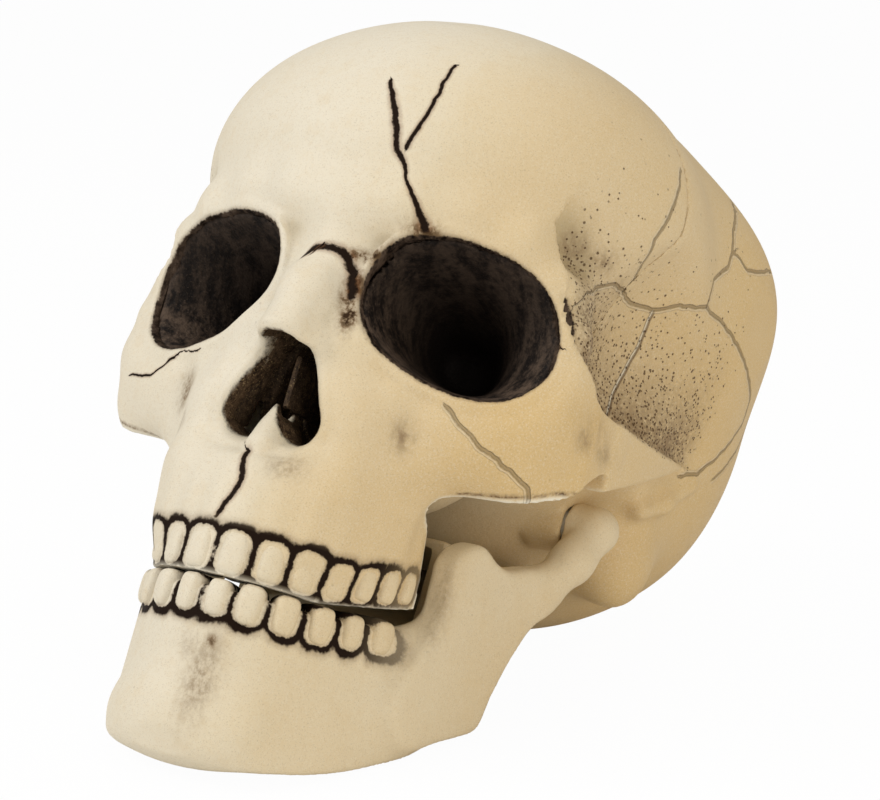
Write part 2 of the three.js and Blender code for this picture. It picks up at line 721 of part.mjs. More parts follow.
// The fields' surfaces
const front = partingShare + skinOverrunShare;
const clippedHead = (grow) => (p) => Math.max(headField(p) + grow / girth, p[1] - front);
const headSolid = skin(clippedHead(0), headGridShares);
const cavity = skin(clippedHead(faceWall), cavityGridShares);
const rearSolid = skin(rearField, rearGridShares);
const rearHollow = skin((p) => rearField(p) + rearWall / girth, hollowGridShares);
const jawSolid = skin(jawField, jawGridShares);

const parting = partingShare * along;
const hingeX = hingeShares.x * across;
const hingeY = hingeShares.y * along;
const hingeZ = hingeShares.z * upward;

// The largest of the bodies that a cut leaves
function whole(solid) {
  return solid.decompose().reduce((a, b) => (b.volume() > a.volume() ? b : a));
}

const prongs = prong(1).add(prong(-1));
const socketSpace = socket(0, socketShares.mouth);
const noseSpace = noseWell(0, noseWellShares.from);
const inside = whole(cavity);
const insertSpace = swollen(inside, -insertClearance);
const cheekHollow = ellipsoid(cheekHollowShares, hollowSides.around, hollowSides.down);

// The front moulding: the face, the forehead, the arches and the upper teeth
function makeFaceShell() {
  let shell = headSolid.intersect(frontOf(parting - clearance / 2));
  shell = shell.subtract(inside).subtract(underside());
  shell = shell.subtract(cheekHollow).subtract(mirrored(cheekHollow));
  shell = shell.add(prongs);
  shell = shell.subtract(socketSpace).subtract(mirrored(socketSpace)).subtract(noseSpace);
  return whole(shell.subtract(trim())).add(teeth(upperJawShares, upperTeethShares, upperTeethShare));
}

// The rear moulding: the dome, the base, the throat block and the bosses for the jaw's pins
function makeRearShell() {
  const far = place(everythingShares);
  const snoutRoom = box([-far[0], -far[1], -far[2]], [far[0], far[1], snoutShares.top * upward]);
  const room = insertSpace.intersect(snoutRoom).add(behind(parting + clearance / 2));
  let shell = rearSolid.intersect(room).subtract(swollen(prongs, clearance)).subtract(rearHollow);
  const [x, y] = foramenShares;
  const opening = new THREE.CylinderGeometry(foramenRadius, foramenRadius, vaultHeight, foramenSides);
  opening.rotateX(Math.PI / 2);
  opening.translate(x * across, y * along, -vaultHeight / 2);
  shell = whole(shell.subtract(solidOf(opening)));
  const boss = turned([[hingeX - bushLength, 0], [hingeX - bushLength, bossRadius], [hingeX, bossRadius],
    [hingeX, 0]], hingeY, hingeZ);
  const bore = turned([[hingeX - bushLength - bossRadius, 0],
    [hingeX - bushLength - bossRadius, bushRadius + clearance],
    [hingeX + bossRadius, bushRadius + clearance], [hingeX + bossRadius, 0]], hingeY, hingeZ);
  const seat = turned([[pinStart - bossRadius, 0], [pinStart - bossRadius, washerRadius + clearance],
    [hingeX - bushLength, washerRadius + clearance], [hingeX - bushLength, 0]], hingeY, hingeZ);
  const drill = bore.add(seat);
  shell = shell.add(boss).add(mirrored(boss)).subtract(drill).subtract(mirrored(drill));
  return whole(shell);
}

// The dark cup behind an eye socket's rim
function makeOrbitCup() {
  const cup = socket(cupWall, socketShares.cupMouth).subtract(socketSpace);
  return whole(cup.intersect(insertSpace));
}

// The well behind the nose opening, with its septum
function makeNoseInsert() {
  const well = noseWell(cupWall, noseWellShares.cupFrom).subtract(noseSpace);
  const s = septumShares;
  const septum = box(place([-s.half, s.from, s.low]), place([s.half, noseWellShares.end + s.half, s.high]));
  const free = noseWell(-clearance, noseWellShares.from).add(insertSpace);
  return whole(well.intersect(insertSpace).add(septum.intersect(free)));
}

// A ring round the hinge's axis, from one place across to another
function hingeRing(from, to, radius, bore) {
  return turned([[from, bore], [from, radius], [to, radius], [to, bore], [from, bore]], hingeY, hingeZ);
}
const pinBore = pinRadius + clearance;
const pinStart = hingeX - bushLength - clearance - washerLength - clearance - pinHeadLength;
const pinEnd = hingeX + pinGrip;
const bushStart = hingeX - bushLength;
const washerEnd = bushStart - clearance;
const bush = hingeRing(bushStart, hingeX, bushRadius, pinBore);
const washer = hingeRing(washerEnd - washerLength, washerEnd, washerRadius, pinBore);
const pin = turned([[pinStart, 0], [pinStart, pinHeadRadius], [pinStart + pinHeadLength, pinHeadRadius],
  [pinStart + pinHeadLength, pinRadius], [pinEnd, pinRadius], [pinEnd, 0]], hingeY, hingeZ);

// The jaw's outer moulding, and the lining behind its teeth and inside its branches
function makeJaw() {
  const holeEnd = pinEnd + clearance;
  const hole = turned([[0, 0], [0, pinBore], [holeEnd, pinBore], [holeEnd, 0]], hingeY, hingeZ);
  const drilled = jawSolid.subtract(hole).subtract(mirrored(hole));
  const row = teeth(lowerJawShares, lowerTeethShares, lowerTeethShare);
  const shell = whole(drilled.subtract(liningSide(0))).add(row);
  return [shell, whole(drilled.intersect(liningSide(clearance)))];
}

const faceShell = makeFaceShell();
const rearShell = makeRearShell();
const orbitCup = makeOrbitCup();
const noseInsert = makeNoseInsert();
const [jawShell, jawLining] = makeJaw();

// The skull is tipped back until the jaw and the back of the head stand at the same height
function lowestWhenTipped(solid, tip) {
  const points = solid.getMesh().vertProperties;
  let low = Infinity;
  for (let i = 0; i < points.length; i += 3) {
    low = Math.min(low, points[i + 2] * Math.cos(tip) - points[i + 1] * Math.sin(tip));
  }
  return low;
}

function restTip() {
  let [low, high] = [0, Math.PI / 2];
  for (let i = 0; i < tipHalvings; i += 1) {
    const middle = (low + high) / 2;
    if (lowestWhenTipped(jawShell, middle) < lowestWhenTipped(rearShell, middle)) {
      low = middle;
    } else {
      high = middle;
    }
  }
  return (low + high) / 2;
}

const tip = restTip();
const table = lowestWhenTipped(rearShell, tip) + footDepth;

// Planes off what would reach below the table
function footed(solid) {
  const normal = new THREE.Vector3(0, -Math.sin(tip), Math.cos(tip));
  return solid.trimByPlane(normal.toArray(), table);
}

const bone = { color: 0xe3d8bb, roughness: 0.62, metalness: 0 };
const darkPaint = { color: 0x2b1f18, roughness: 0.75, metalness: 0 };
const brownPaint = { color: 0x57442f, roughness: 0.75, metalness: 0 };
const steel = { color: 0xb9bcc0, roughness: 0.35, metalness: 0.9 };
const nylon = { color: 0xe9e6dc, roughness: 0.5, metalness: 0 };

const group = new THREE.Group();
const tipped = new THREE.Group();
tipped.rotation.x = -tip;
group.add(tipped);

// Draws the ends of very short edges together, where that leaves the surface whole
function withoutShortEdges(points, triangles) {
  const at = (i) => new THREE.Vector3().fromArray(points, i * 3);
  let faces = [];
  for (let i = 0; i < triangles.length; i += 3) {
    faces.push([triangles[i], triangles[i + 1], triangles[i + 2]]);
  }
  for (let again = true; again;) {
    again = false;
    const around = new Map();
    for (const face of faces) {
      for (const i of face) {
        const near = around.get(i) ?? new Set();
        face.forEach((j) => near.add(j));
        around.set(i, near);
      }
    }
    const busy = new Set();
    const moved = new Map();
    for (const face of faces) {
      for (let n = 0; n < face.length; n += 1) {
        const [a, b] = [face[n], face[(n + 1) % face.length]];
        if (busy.has(a) || busy.has(b) || at(a).distanceTo(at(b)) > shortestEdge) {
          continue;
        }
        const both = [...around.get(a)].filter((i) => around.get(b).has(i) && i !== a && i !== b);
        const touched = [...around.get(a), ...around.get(b)];
        if (both.length === 2 && !touched.some((i) => busy.has(i))) {
          touched.forEach((i) => busy.add(i));
          moved.set(b, a);
          again = true;
        }
      }
    }
    faces = faces.map((face) => face.map((i) => moved.get(i) ?? i));
    faces = faces.filter(([i, j, k]) => i !== j && j !== k && k !== i);
  }
  return faces.flat();
}

function addPiece(name, solid, look) {
  const mesh = solid.getMesh();
  const geometry = new THREE.BufferGeometry();
  geometry.setAttribute('position', new THREE.BufferAttribute(Float32Array.from(mesh.vertProperties), 3));
  geometry.setIndex(withoutShortEdges(mesh.vertProperties, mesh.triVerts));
  geometry.computeVertexNormals();
  const piece = new THREE.Mesh(geometry, new THREE.MeshStandardMaterial(look));
  piece.name = name;
  tipped.add(piece);
}

addPiece('face_shell', faceShell, bone);
addPiece('rear_shell', footed(rearShell), bone);
addPiece('nose_insert', noseInsert, brownPaint);
addPiece('jaw_shell', footed(jawShell), bone);
addPiece('jaw_lining', footed(jawLining), bone);
for (const [side, onSide] of [['left', (v) => v], ['right', mirrored]]) {
  addPiece(`orbit_cup_${side}`, onSide(orbitCup), darkPaint);
  addPiece(`hinge_bush_${side}`, onSide(bush), nylon);
  addPiece(`hinge_washer_${side}`, onSide(washer), nylon);
  addPiece(`hinge_pin_${side}`, onSide(pin), steel);
}

// The origin is under the middle of the skull, on the table
group.updateMatrixWorld(true);
const bounds = new THREE.Box3().setFromObject(group, true);
tipped.position.set(-(bounds.min.x + bounds.max.x) / 2, -(bounds.min.y + bounds.max.y) / 2, -bounds.min.z);

export default group;
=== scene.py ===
"""Dresses the plastic skull model: fine skins with teeth, seams and painted stains, a studio and the photo's camera.

Shapes are drawn in the skull's own upright frame in millimetres (x to its left, y backwards, z up, ear holes at
the origin's height) and then tipped back as the model rests.
"""
import math

import bpy
import numpy as np
from mathutils import Matrix, Vector


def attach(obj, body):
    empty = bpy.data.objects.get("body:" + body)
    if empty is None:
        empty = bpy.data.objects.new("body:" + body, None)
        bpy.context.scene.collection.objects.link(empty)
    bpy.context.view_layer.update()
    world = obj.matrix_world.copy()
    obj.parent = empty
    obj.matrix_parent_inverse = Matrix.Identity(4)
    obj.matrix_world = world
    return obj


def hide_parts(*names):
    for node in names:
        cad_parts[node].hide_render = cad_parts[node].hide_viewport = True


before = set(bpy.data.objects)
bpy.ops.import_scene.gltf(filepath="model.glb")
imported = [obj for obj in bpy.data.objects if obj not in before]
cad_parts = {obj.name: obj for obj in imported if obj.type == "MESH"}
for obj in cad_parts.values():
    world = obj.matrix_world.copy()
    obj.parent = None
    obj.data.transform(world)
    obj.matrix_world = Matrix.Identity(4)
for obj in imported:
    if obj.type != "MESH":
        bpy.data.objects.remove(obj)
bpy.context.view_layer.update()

MM = 0.001
TIP = math.radians(26.624)
REST_SHIFT = np.array([0.0, 14.3726, 43.0257])
PARTING = -46.0
FACE_WALL = 3.0
REAR_WALL = 2.6
CUP_WALL = 1.8
INSERT_GAP = 0.7
PIECE_GAP = 0.35
HALF_GAP = 0.17
HINGE = (-16.5, -9.5)
PIN_BORE, BUSH_BORE = 2.85, 4.95
BOSS = dict(radius=7, root=32.2, end=42.2)
CROWN_EDGE = 0.36

# Forms in millimetres, as in the solid
VAULT = [((0, -40, 58), (64, 54, 44.5), 1), ((0, 13, 39), (61.7, 70.7, 72.4), 20),
         ((35.6, 16.4, 59), (27.5, 30, 27.5), 14), ((0, 28.5, 14.5), (50, 35, 36.5), 16),
         ((0, -24, 14), (58, 44, 26), 12), ((43, 6, -8), (10, 13, 13), 10)]
TEMPLE = ((70, -40, 26), (18.5, 26, 26))
CHEEK_HOLLOW = ((60, -35, -26), (24, 32, 27))
HEAD_SEAT = ((54, -17, -13), (12.5, 12, 15))
FACE = [((0, -58, 10), (46, 30, 40), 12), ((49, -66, -6), (10.5, 10.5, 14), 6), ((0, -70, -30), (27, 28, 18), 8)]
BARS = [
    (7, [(0, -87.5, 40, 6), (14, -85.5, 42, 6), (28, -81, 42, 6), (40, -76.5, 39, 6), (48.5, -71, 32, 5.5),
         (54, -67.5, 22, 4.6), (55.5, -66.5, 12, 4.8), (53.5, -67, 3, 6)]),
    (6, [(53, -67, 3, 6), (44, -73, -4, 6), (34, -78, -4, 6), (24, -82, -1, 6), (15, -85, 5, 5)]),
    (6, [(13, -84.5, 2, 7), (17, -85.5, -10, 8), (17, -86, -26, 9), (16, -86, -38, 9)]),
    (8, [(38, -74, -10, 8), (27, -76, -15, 8), (18.5, -74, -32, 7)]),
    (8, [(0, -86, 30, 5.4), (0, -93.8, 17, 6.2), (0, -98, 7, 6.3)]),
    (6, [(8, -83, 26, 5), (10.5, -88, 8, 5.5), (13, -88, -4, 6)]),
    (6, [(49, -64, 32, 5), (47, -60, 21, 6.5), (47, -60, 8, 6.5)]),
]
# the rows' half ovals: front, half width, back
UPPER_OVAL = (-96.3, 26.5, -61.0)
LOWER_OVAL = (-96.5, 26.5, -61.0)
ROW_WALL = 4.2
UPPER_LOW, UPPER_HIGH, UPPER_REAR = -50.4, -24.0, -57.5
LOWER_TOP = -53.0
ORBIT = [(28, 36), (40, 34.5), (48.5, 30), (53, 21), (52.5, 11), (47, 4), (38, 1.8), (27, 4), (18, 9), (12.8, 17),
         (12.5, 25), (17, 33)]
NOSE = [(0, 5), (4, 4), (8, -3), (11.5, -9), (12.6, -13.5), (9.5, -17.5), (5.2, -17.4), (2.4, -14), (0, -9.2)]
BRANCH = [(-58.5, -36), (-58.5, -46), (-62, -54), (-66, -66), (-60, -72), (-50, -68.5), (-43, -65.5),
          (-39.5, -63), (-38, -56), (-35.5, -48), (-31, -38), (-24, -29), (-27, -25), (-34, -26.5), (-41, -29),
          (-47, -28.5), (-52, -26.5), (-56, -28), (-58.5, -31)]
NECK = [(43, -27, -29, 4.0), (47.2, -22, -19, 4.6), (48.5, -16.5, -9.5, 5.4)]
TRIM = [(-62, -60), (-62, -42), (-62.5, -33), (-64.5, -26), (-69, -23), (-73, -21.5), (-74, -20), (-71, -17.5),
        (-66, -14.5), (-55, -10), (-42, -5), (-30, -0.5), (-15, 6), (0, 12), (8, 14), (12, -60)]
UPPER_TEETH = [(3.7, 7.4, 10.4), (10.9, 6.8, 9.6), (17.7, 6.6, 9.6), (24.3, 6.4, 9.0), (30.8, 6.4, 8.6),
               (37.3, 6.2, 8.2), (43.2, 5.4, 7.4)]
LOWER_TEETH = [(3.0, 6.0, 8.6), (9.6, 6.8, 9.0), (16.6, 7.0, 9.0), (24.0, 7.2, 8.6), (31.4, 6.8, 8.0), (39.8, 9.0, 7.8)]
RIDGE = [(-76, 46), (-74.8, 40.8), (-75.5, 29.1), (-72.2, 20.2), (-63, 11), (-51, 9), (-39, 9.2), (-21, 10.4), (2, 14)]
UPPER_Z, UPPER_RISE = -45.4, 0.25
LOWER_Z, LOWER_RISE = -55.4, 0.15
RISE_FROM = -88


# Fields, negative inside
def soft_min(a, b, k):
    h = np.maximum(k - np.abs(a - b), 0) / k
    return np.minimum(a, b) - h * h * k * 0.25


def soft_max(a, b, k):
    return -soft_min(-a, -b, k)


def both(first, *others):
    """What several forms share."""
    for other in others:
        first = np.maximum(first, other)
    return first


def either(first, *others):
    for other in others:
        first = np.minimum(first, other)
    return first


def ellipsoid(p, centre, half):
    q = [(c - o) / r for c, o, r in zip(p, centre, half)]
    k = np.sqrt(sum(a ** 2 for a in q))
    g = np.sqrt(sum((a / r) ** 2 for a, r in zip(q, half)))
    return k * (k - 1) / np.maximum(g, 1e-6)


def cone(p, a, b):
    run = [b[i] - a[i] for i in range(3)]
    square = sum(r * r for r in run)
    t = np.clip(sum((p[i] - a[i]) * run[i] for i in range(3)) / square, 0, 1)
    off = np.sqrt(sum((p[i] - a[i] - t * run[i]) ** 2 for i in range(3)))
    return off - (a[3] + (b[3] - a[3]) * t)


def swollen(field, p, bodies):
    """A field, or none, with a table of bodies blended in."""
    for centre, half, blend in bodies:
        one = ellipsoid(p, centre, half)
        field = one if field is None else soft_min(field, one, blend)
    return field


def bar(p, points, blend=4.0):
    field = None
    for a, b in zip(points[:-1], points[1:]):
        one = cone(p, a, b)
        field = one if field is None else soft_min(field, one, blend)
    return field


def stretch_field(u, v, a, b):
    """Square of the distance from one stretch, and whether it lies to the left."""
    ex, ey = b - a
    wx, wy = u - a[0], v - a[1]
    t = np.clip((wx * ex + wy * ey) / (ex * ex + ey * ey), 0, 1)
    return (wx - ex * t) ** 2 + (wy - ey * t) ** 2, ex * wy > ey * wx


def outline_field(u, v, points):
    """Signed distance from a closed outline."""
    pts = np.asarray(points, np.float32)
    square = np.full(np.broadcast(u, v).shape, 1e9, np.float32)
    sign = np.ones(square.shape, np.float32)
    for i in range(len(pts)):
        a, b = pts[i], pts[i - 1]
        one, left = stretch_field(u, v, a, b)
        square = np.minimum(square, one)
        above, below = v >= a[1], v < b[1]
        sign = np.where((above & below & left) | (~above & ~below & ~left), -sign, sign)
    return sign * np.sqrt(square)


def path_field(u, v, points):
    """Distance from an open path."""
    pts = np.asarray(points, np.float32)
    return np.sqrt(either(*[stretch_field(u, v, a, b)[0] for a, b in zip(pts[:-1], pts[1:])]))


def ramp(value, low, high):
    t = np.clip((value - low) / (high - low), 0, 1)
    return t * t * (3 - 2 * t)


def smooth_outline(points, steps):
    p = np.asarray(points, float)
    out = []
    for i in range(len(p)):
        a, b, c, d = p[i - 1], p[i], p[(i + 1) % len(p)], p[(i + 2) % len(p)]
        for t in np.arange(steps) / steps:
            out.append(0.5 * (2 * b + (c - a) * t + (2 * a - 5 * b + 4 * c - d) * t * t
                              + (3 * b - a - 3 * c + d) * t ** 3))
    return np.array(out)


def row_field(x, y, front, half, back):
    yy = np.minimum(y - back, 0)
    depth = back - front
    q = np.sqrt((x / half) ** 2 + (yy / depth) ** 2)
    g = np.sqrt((x / half ** 2) ** 2 + (yy / depth ** 2) ** 2)
    return q * (q - 1) / np.maximum(g, 1e-6)


def rise_of(y, slope):
    return slope * np.maximum(y - RISE_FROM, 0)


def slab(across, past, edge):
    a, b = across + edge, past + edge
    return np.minimum(np.maximum(a, b), 0) + np.sqrt(np.maximum(a, 0) ** 2 + np.maximum(b, 0) ** 2) - edge


def temple_blend(p):
    """The front edge of the temple is crisp; the hollow runs out softly to the back."""
    return 2.2 + 9.0 * np.clip((p[1] + 62) / 22, 0, 1)


def arch_field(p, edge=1.2):
    x, y, z = p
    t = np.clip((y + 62) / 66, 0, 1)
    middle = 59 + 10 * t * (1 - t) - 2 * t
    top = 9.5 + 4.5 * t * t
    low = -12 + 27 * t
    side = np.abs(x - middle) - 3.0
    height = np.abs(z - (top + low) / 2) - (top - low) / 2
    ends = np.maximum(-62 - y, y - 4)
    return slab(side, np.maximum(height, ends), edge)


def head_field(p):
    x, y, z = p
    field = swollen(soft_max(swollen(None, p, VAULT), -ellipsoid(p, *TEMPLE), 10), p, FACE)
    for blend, points in BARS:
        field = soft_min(field, bar(p, points), blend)
    row = np.abs(row_field(x, y, *UPPER_OVAL)) - ROW_WALL + 0.2 * np.maximum(z + 37, 0)
    past = both(UPPER_LOW + rise_of(y, UPPER_RISE) - z, z - UPPER_HIGH, y - UPPER_REAR)
    field = soft_min(field, slab(row, past, 0), 7)
    field = soft_min(field, orbit_plug(p), 3)
    field = soft_max(field, -ellipsoid(p, *TEMPLE), temple_blend(p))
    return soft_min(field, arch_field(p), 6)


def temple_step(p):
    """How far the temple lies behind the crisp ridge that runs round it."""
    x, y, z = p
    off = path_field(y, z, RIDGE)
    inside = outline_field(y, z, RIDGE + [(30, 20), (30, 110), (-70, 110), (-74, 60)]) < 0
    return 1.25 * inside * ramp(off, 0, 0.9) * (1 - ramp(off, 3, 15)) * ramp(x, 42, 47)


def unevenness(p):
    """The slight waviness of a hand-made form."""
    x, y, z = p
    wave = np.sin(x / 8.3 + 0.7) * np.sin(y / 9.1 + z / 17.0) + np.sin(z / 7.1 + x / 15.0) * np.sin(y / 12.7 + 1.9)
    return 0.16 * wave


def roots(p):
    """Low swellings over the roots of the upper teeth."""
    x, y, z = p
    front, half, back = UPPER_OVAL
    run = np.interp(np.arctan2(np.abs(x) / half, (back - y) / (back - front)), UPPER.a, UPPER.run)
    level = z + 35 - rise_of(y, UPPER_RISE)
    return 0.45 * (0.5 + 0.5 * np.cos((run - 3.7) * 2 * math.pi / 6.8)) * np.exp(-(level / 6.5) ** 2) * (y < -60)


def rim_sheet(x):
    """The bent sheet on which a socket's mouth lies."""
    return -92 + 0.0068 * x * x


def orbit_plug(p):
    """Bone behind the rim's sheet, so that the rim is whole all round."""
    x, y, z = p
    return both(outline_field(x, z, ORBIT_LINE[::2]) - 1.5, rim_sheet(x) - y, y + 60)


def orbit_shape(p, grow=0.0):
    """The eye socket's hollow, tapering to its end."""
    x, y, z = p
    rim = rim_sheet(x)
    t = np.clip((y - rim) / (PARTING - rim), -0.4, 1.2)
    size = 1 - 0.7 * np.clip(t, 0, 1)
    u = (x - 14) / size + 14
    v = (z - 14) / size + 14
    return soft_max(outline_field(u, v, ORBIT_LINE) * size - grow, y - PARTING - grow, 4)


def nose_shape(p, grow=0.0):
    x, y, z = p
    size = 1 - 0.2 * np.clip((y + 96) / 22, 0, 1)
    roof = np.clip(5.2 + 0.55 * (y + 102), 4.8, 10)
    stretch = np.where(z > -8, (roof + 8) / 13, 1)
    v = (z + 8) / (size * stretch) - 8
    return np.maximum(outline_field(x / size, v, NOSE_LINE) * size - grow, y + 74 - grow)


def hollow_field(p):
    return soft_min(ellipsoid(p, *CHEEK_HOLLOW), ellipsoid(p, *HEAD_SEAT), 4)


def jaw_field(p):
    x, y, z = p
    lean = np.clip((-52 - z) / 30, 0, 1)
    low = -88.7 + 26 * np.clip((y + 88) / 60, 0, 1) ** 1.25
    front, half, back = LOWER_OVAL
    row = np.abs(row_field(x, y, front + 1.5 * lean, half + 4.5 * lean, back + 16 * lean)) - ROW_WALL
    top = LOWER_TOP + rise_of(y, LOWER_RISE)
    field = slab(row, both(low - z, z - top, y + 46), 1.8)
    side = np.abs(x - 38.1 - 0.25 * (y + 45)) - 3.4
    field = soft_min(field, slab(side, outline_field(y, z, BRANCH_LINE) - 1.8, 1.8), 8)
    field = soft_min(field, bar(p, NECK), 4)
    return soft_min(field, ellipsoid(p, (0, -92, -82), (18, 7, 9)), 8)


def barrel(p, radius, root=-99, end=99):
    """A round bar on the hinge's axis."""
    x, y, z = p
    return both(np.sqrt((y - HINGE[0]) ** 2 + (z - HINGE[1]) ** 2) - radius, root - x, x - end)


ORBIT_LINE = smooth_outline(ORBIT, 4)
BRANCH_LINE = smooth_outline(BRANCH, 4)
TRIM_LINE = np.array(TRIM, float)
NOSE_LINE = smooth_outline(NOSE + [(-u, v) for u, v in NOSE[-2:0:-1]], 4)


# Surfaces
CORNERS = [(i, j, k) for i in (0, 1) for j in (0, 1) for k in (0, 1)]


def along_axis(axis, first, last):
    return tuple(slice(first, last) if i == axis else slice(None) for i in range(3))


def nets(values, origin, step):
    """Naive surface nets: one point in each cell that the zero level crosses."""
    s = values < 0
    nx, ny, nz = values.shape
    cells = np.zeros((nx - 1, ny - 1, nz - 1), np.int8)
    for i, j, k in CORNERS:
        cells += s[i:nx - 1 + i, j:ny - 1 + j, k:nz - 1 + k]
    mixed = (cells > 0) & (cells < 8)
    index = np.full(mixed.shape, -1, np.int64)
    at = np.argwhere(mixed)
    index[mixed] = np.arange(len(at))
    total = np.zeros((len(at), 3))
    count = np.zeros(len(at))
    value = {c: values[at[:, 0] + c[0], at[:, 1] + c[1], at[:, 2] + c[2]] for c in CORNERS}
    for a in CORNERS:
        for axis in range(3):
            if a[axis] == 0:
                b = list(a)
                b[axis] = 1
                va, vb = value[a], value[tuple(b)]
                m = (va < 0) != (vb < 0)
                t = np.where(m, va / np.where(m, va - vb, 1), 0)
                point = np.tile(np.array(a, float), (len(at), 1))
                point[:, axis] = t
                total[m] += point[m]
                count[m] += 1
    points = (at + total / count[:, None]) * step + np.asarray(origin)
    quads = []
    for axis in range(3):
        u, v = (axis + 1) % 3, (axis + 2) % 3
        e = np.argwhere(s[along_axis(axis, 0, -1)] != s[along_axis(axis, 1, None)])
        e = e[(e[:, u] > 0) & (e[:, v] > 0) & (e[:, u] < values.shape[u] - 1) & (e[:, v] < values.shape[v] - 1)]
        q = []
        for du, dv in ((-1, -1), (0, -1), (0, 0), (-1, 0)):
            c = e.copy()
            c[:, u] += du
            c[:, v] += dv
            q.append(index[c[:, 0], c[:, 1], c[:, 2]])
        q = np.stack(q, -1)
        flip = ~s[e[:, 0], e[:, 1], e[:, 2]]
        q[flip] = q[flip][:, ::-1]
        quads.append(q)
    return points, np.concatenate(quads)


def sample(values, origin, step, points):
    q = (points - np.asarray(origin)) / step
    i = np.clip(np.floor(q).astype(int), 0, np.array(values.shape) - 2)
    f = q - i
    out = np.zeros(len(points))
    for corner in CORNERS:
        w = np.where(corner, f, 1 - f).prod(-1)
        out += w * values[tuple((i + corner).T)]
    return out


def box_blur(a, n):
    wide = 2 * n + 1
    for axis in range(3):
        pad = [(0, 0)] * 3
        pad[axis] = (n + 1, n)
        c = np.cumsum(np.pad(a, pad, mode="edge"), axis=axis, dtype=np.float32)
        a = (c[along_axis(axis, wide, None)] - c[along_axis(axis, 0, -wide)]) / wide
    return a


def skin(field, low, high, step, mirror=True, solid=None):
    """The surface of a field on its zero level, and how hollow each place of it is, near by and farther out.

    With mirror, the field is worked out for x from 0 and mirrored.
    """
    starts = [0.0 if mirror and i == 0 else low[i] for i in range(3)]
    ax = [(a + step * np.arange(int(math.ceil((b - a) / step)) + 1)).astype(np.float32) for a, b in zip(starts, high)]
    grid = ax[0][:, None, None], ax[1][None, :, None], ax[2][None, None, :]

    def on_grid(form):
        out = np.ascontiguousarray(np.broadcast_to(form(grid), tuple(len(a) for a in ax)), np.float32)
        return np.concatenate([out[:0:-1], out]) if mirror else out

    values = on_grid(field)
    body = values if solid is None else on_grid(solid)
    origin = (-ax[0][-1] if mirror else ax[0][0], ax[1][0], ax[2][0])
    points, quads = nets(values, origin, step)
    for _ in range(2):
        here = sample(values, origin, step, points)
        slope = np.stack([sample(values, origin, step, points + d) - sample(values, origin, step, points - d)
                          for d in np.eye(3) * 0.5 * step], -1) / step
        move = -here / np.maximum((slope ** 2).sum(-1), 0.2)
        points = points + slope * np.clip(move, -0.4 * step, 0.4 * step)[:, None]
    filled = (body < 0).astype(np.float32)
    hollow = []
    for reach in (2.5, 6.0):
        n = max(int(round(reach / step)), 1)
        hollow.append(sample(box_blur(box_blur(filled, n), n), origin, step, points))
    return points, quads, *hollow


# The mouldings
def face_block(p, head):
    """Only the front moulding's own walls: the head's skin in front of the parting, with the arch's free prongs."""
    x, y, z = p
    inner = row_field(x, y, *UPPER_OVAL) - 1.6
    wall = both(head, -(head + FACE_WALL), -both(inner, z + 32), y - PARTING + HALF_GAP,
                -ellipsoid(p, *CHEEK_HOLLOW))
    wall = soft_min(wall, both(arch_field(p), -50 - y), 2.0)
    return both(wall, -outline_field(y, z, TRIM_LINE))


def block(p, front, low, high):
    """The part of an open grid in front of a plane and between two levels."""
    x, y, z = p
    rows, levels = (y < front).ravel(), ((z > low) & (z < high)).ravel()
    keep = np.ix_(range(x.shape[0]), np.flatnonzero(rows), np.flatnonzero(levels))
    return keep, (x, y[:, rows], z[:, :, levels])


def face_field(p):
    head = head_field(p) + temple_step(p) + unevenness(p) - roots(p)
    field = face_block(p, head)
    keep, q = block(p, -42, -12, 46)
    part, near = field[keep], head[keep]
    socket = orbit_shape(q)
    part = soft_max(part, -socket, 1.4)
    part = both(part, -both(orbit_shape(q, CUP_WALL + 0.15), near + 1.3))
    low_rim = ramp(14 - q[2], 0, 8)
    part = soft_min(part, np.hypot(socket - 1.6, near + 0.5) - 0.3 - 0.75 * low_rim, 1.8)
    field[keep] = part
    keep, q = block(p, -70, -26, 12)
    part, near = field[keep], head[keep]
    nose = nose_shape(q)
    part = soft_max(part, -nose, 1.0)
    part = soft_min(part, np.hypot(nose - 1.5, near + 0.3) - 1.2, 1.6)
    part = soft_min(part, cone(q, (0, -94.2, -19, 3.6), (0, -92.8, -10, 0.9)), 2.0)
    part = soft_min(part, ellipsoid(q, (0, -89, -17), (4.2, 6, 5.6)), 2.0)
    field[keep] = part
    return field


def rear_solid(p):
    x, y, z = p
    vault = soft_max(swollen(None, p, VAULT), -ellipsoid(p, *TEMPLE), temple_blend(p))
    vault = soft_min(vault, ellipsoid(p, (47, 5, -14), (6.5, 8, 8.5)), 7)
    vault = soft_max(vault, -ellipsoid(p, (58, -7, -8), (6.0, 5, 9)), 5)
    rim = [(52.5, -16, -3.5, 1.2), (54, -8, -1.5, 1.4), (56.5, 2, 4, 1.2), (58.5, 12, 12, 0.8)]
    vault = soft_min(vault, bar(p, rim), 5)
    head = head_field(p)
    near = ramp(z, 12, 17) * (1 - ramp(y, -40, -14))
    vault = vault + near * (head - vault) + temple_step(p) + unevenness(p)
    vault = both(soft_min(vault, arch_field(p) + 0.8, 5), -68 - y)
    snout = both(head + FACE_WALL + PIECE_GAP, z + 4, -34 - z, y + 4, -84 - y, either(z + 22, -68 - y))
    half = np.minimum(12.6 + 0.36 * np.maximum(y + 82, 0), 33)
    low = -51 + 20 * np.clip((y + 50) / 50, 0, 1)
    throat = both(x - half, low - z, z + 24, -85 - y, y + 4)
    throat = soft_max(throat, x - half, 1.5)
    field = soft_max(either(vault, snout, throat), -hollow_field(p), 4)
    return soft_min(field, barrel(p, **BOSS), 1.0)


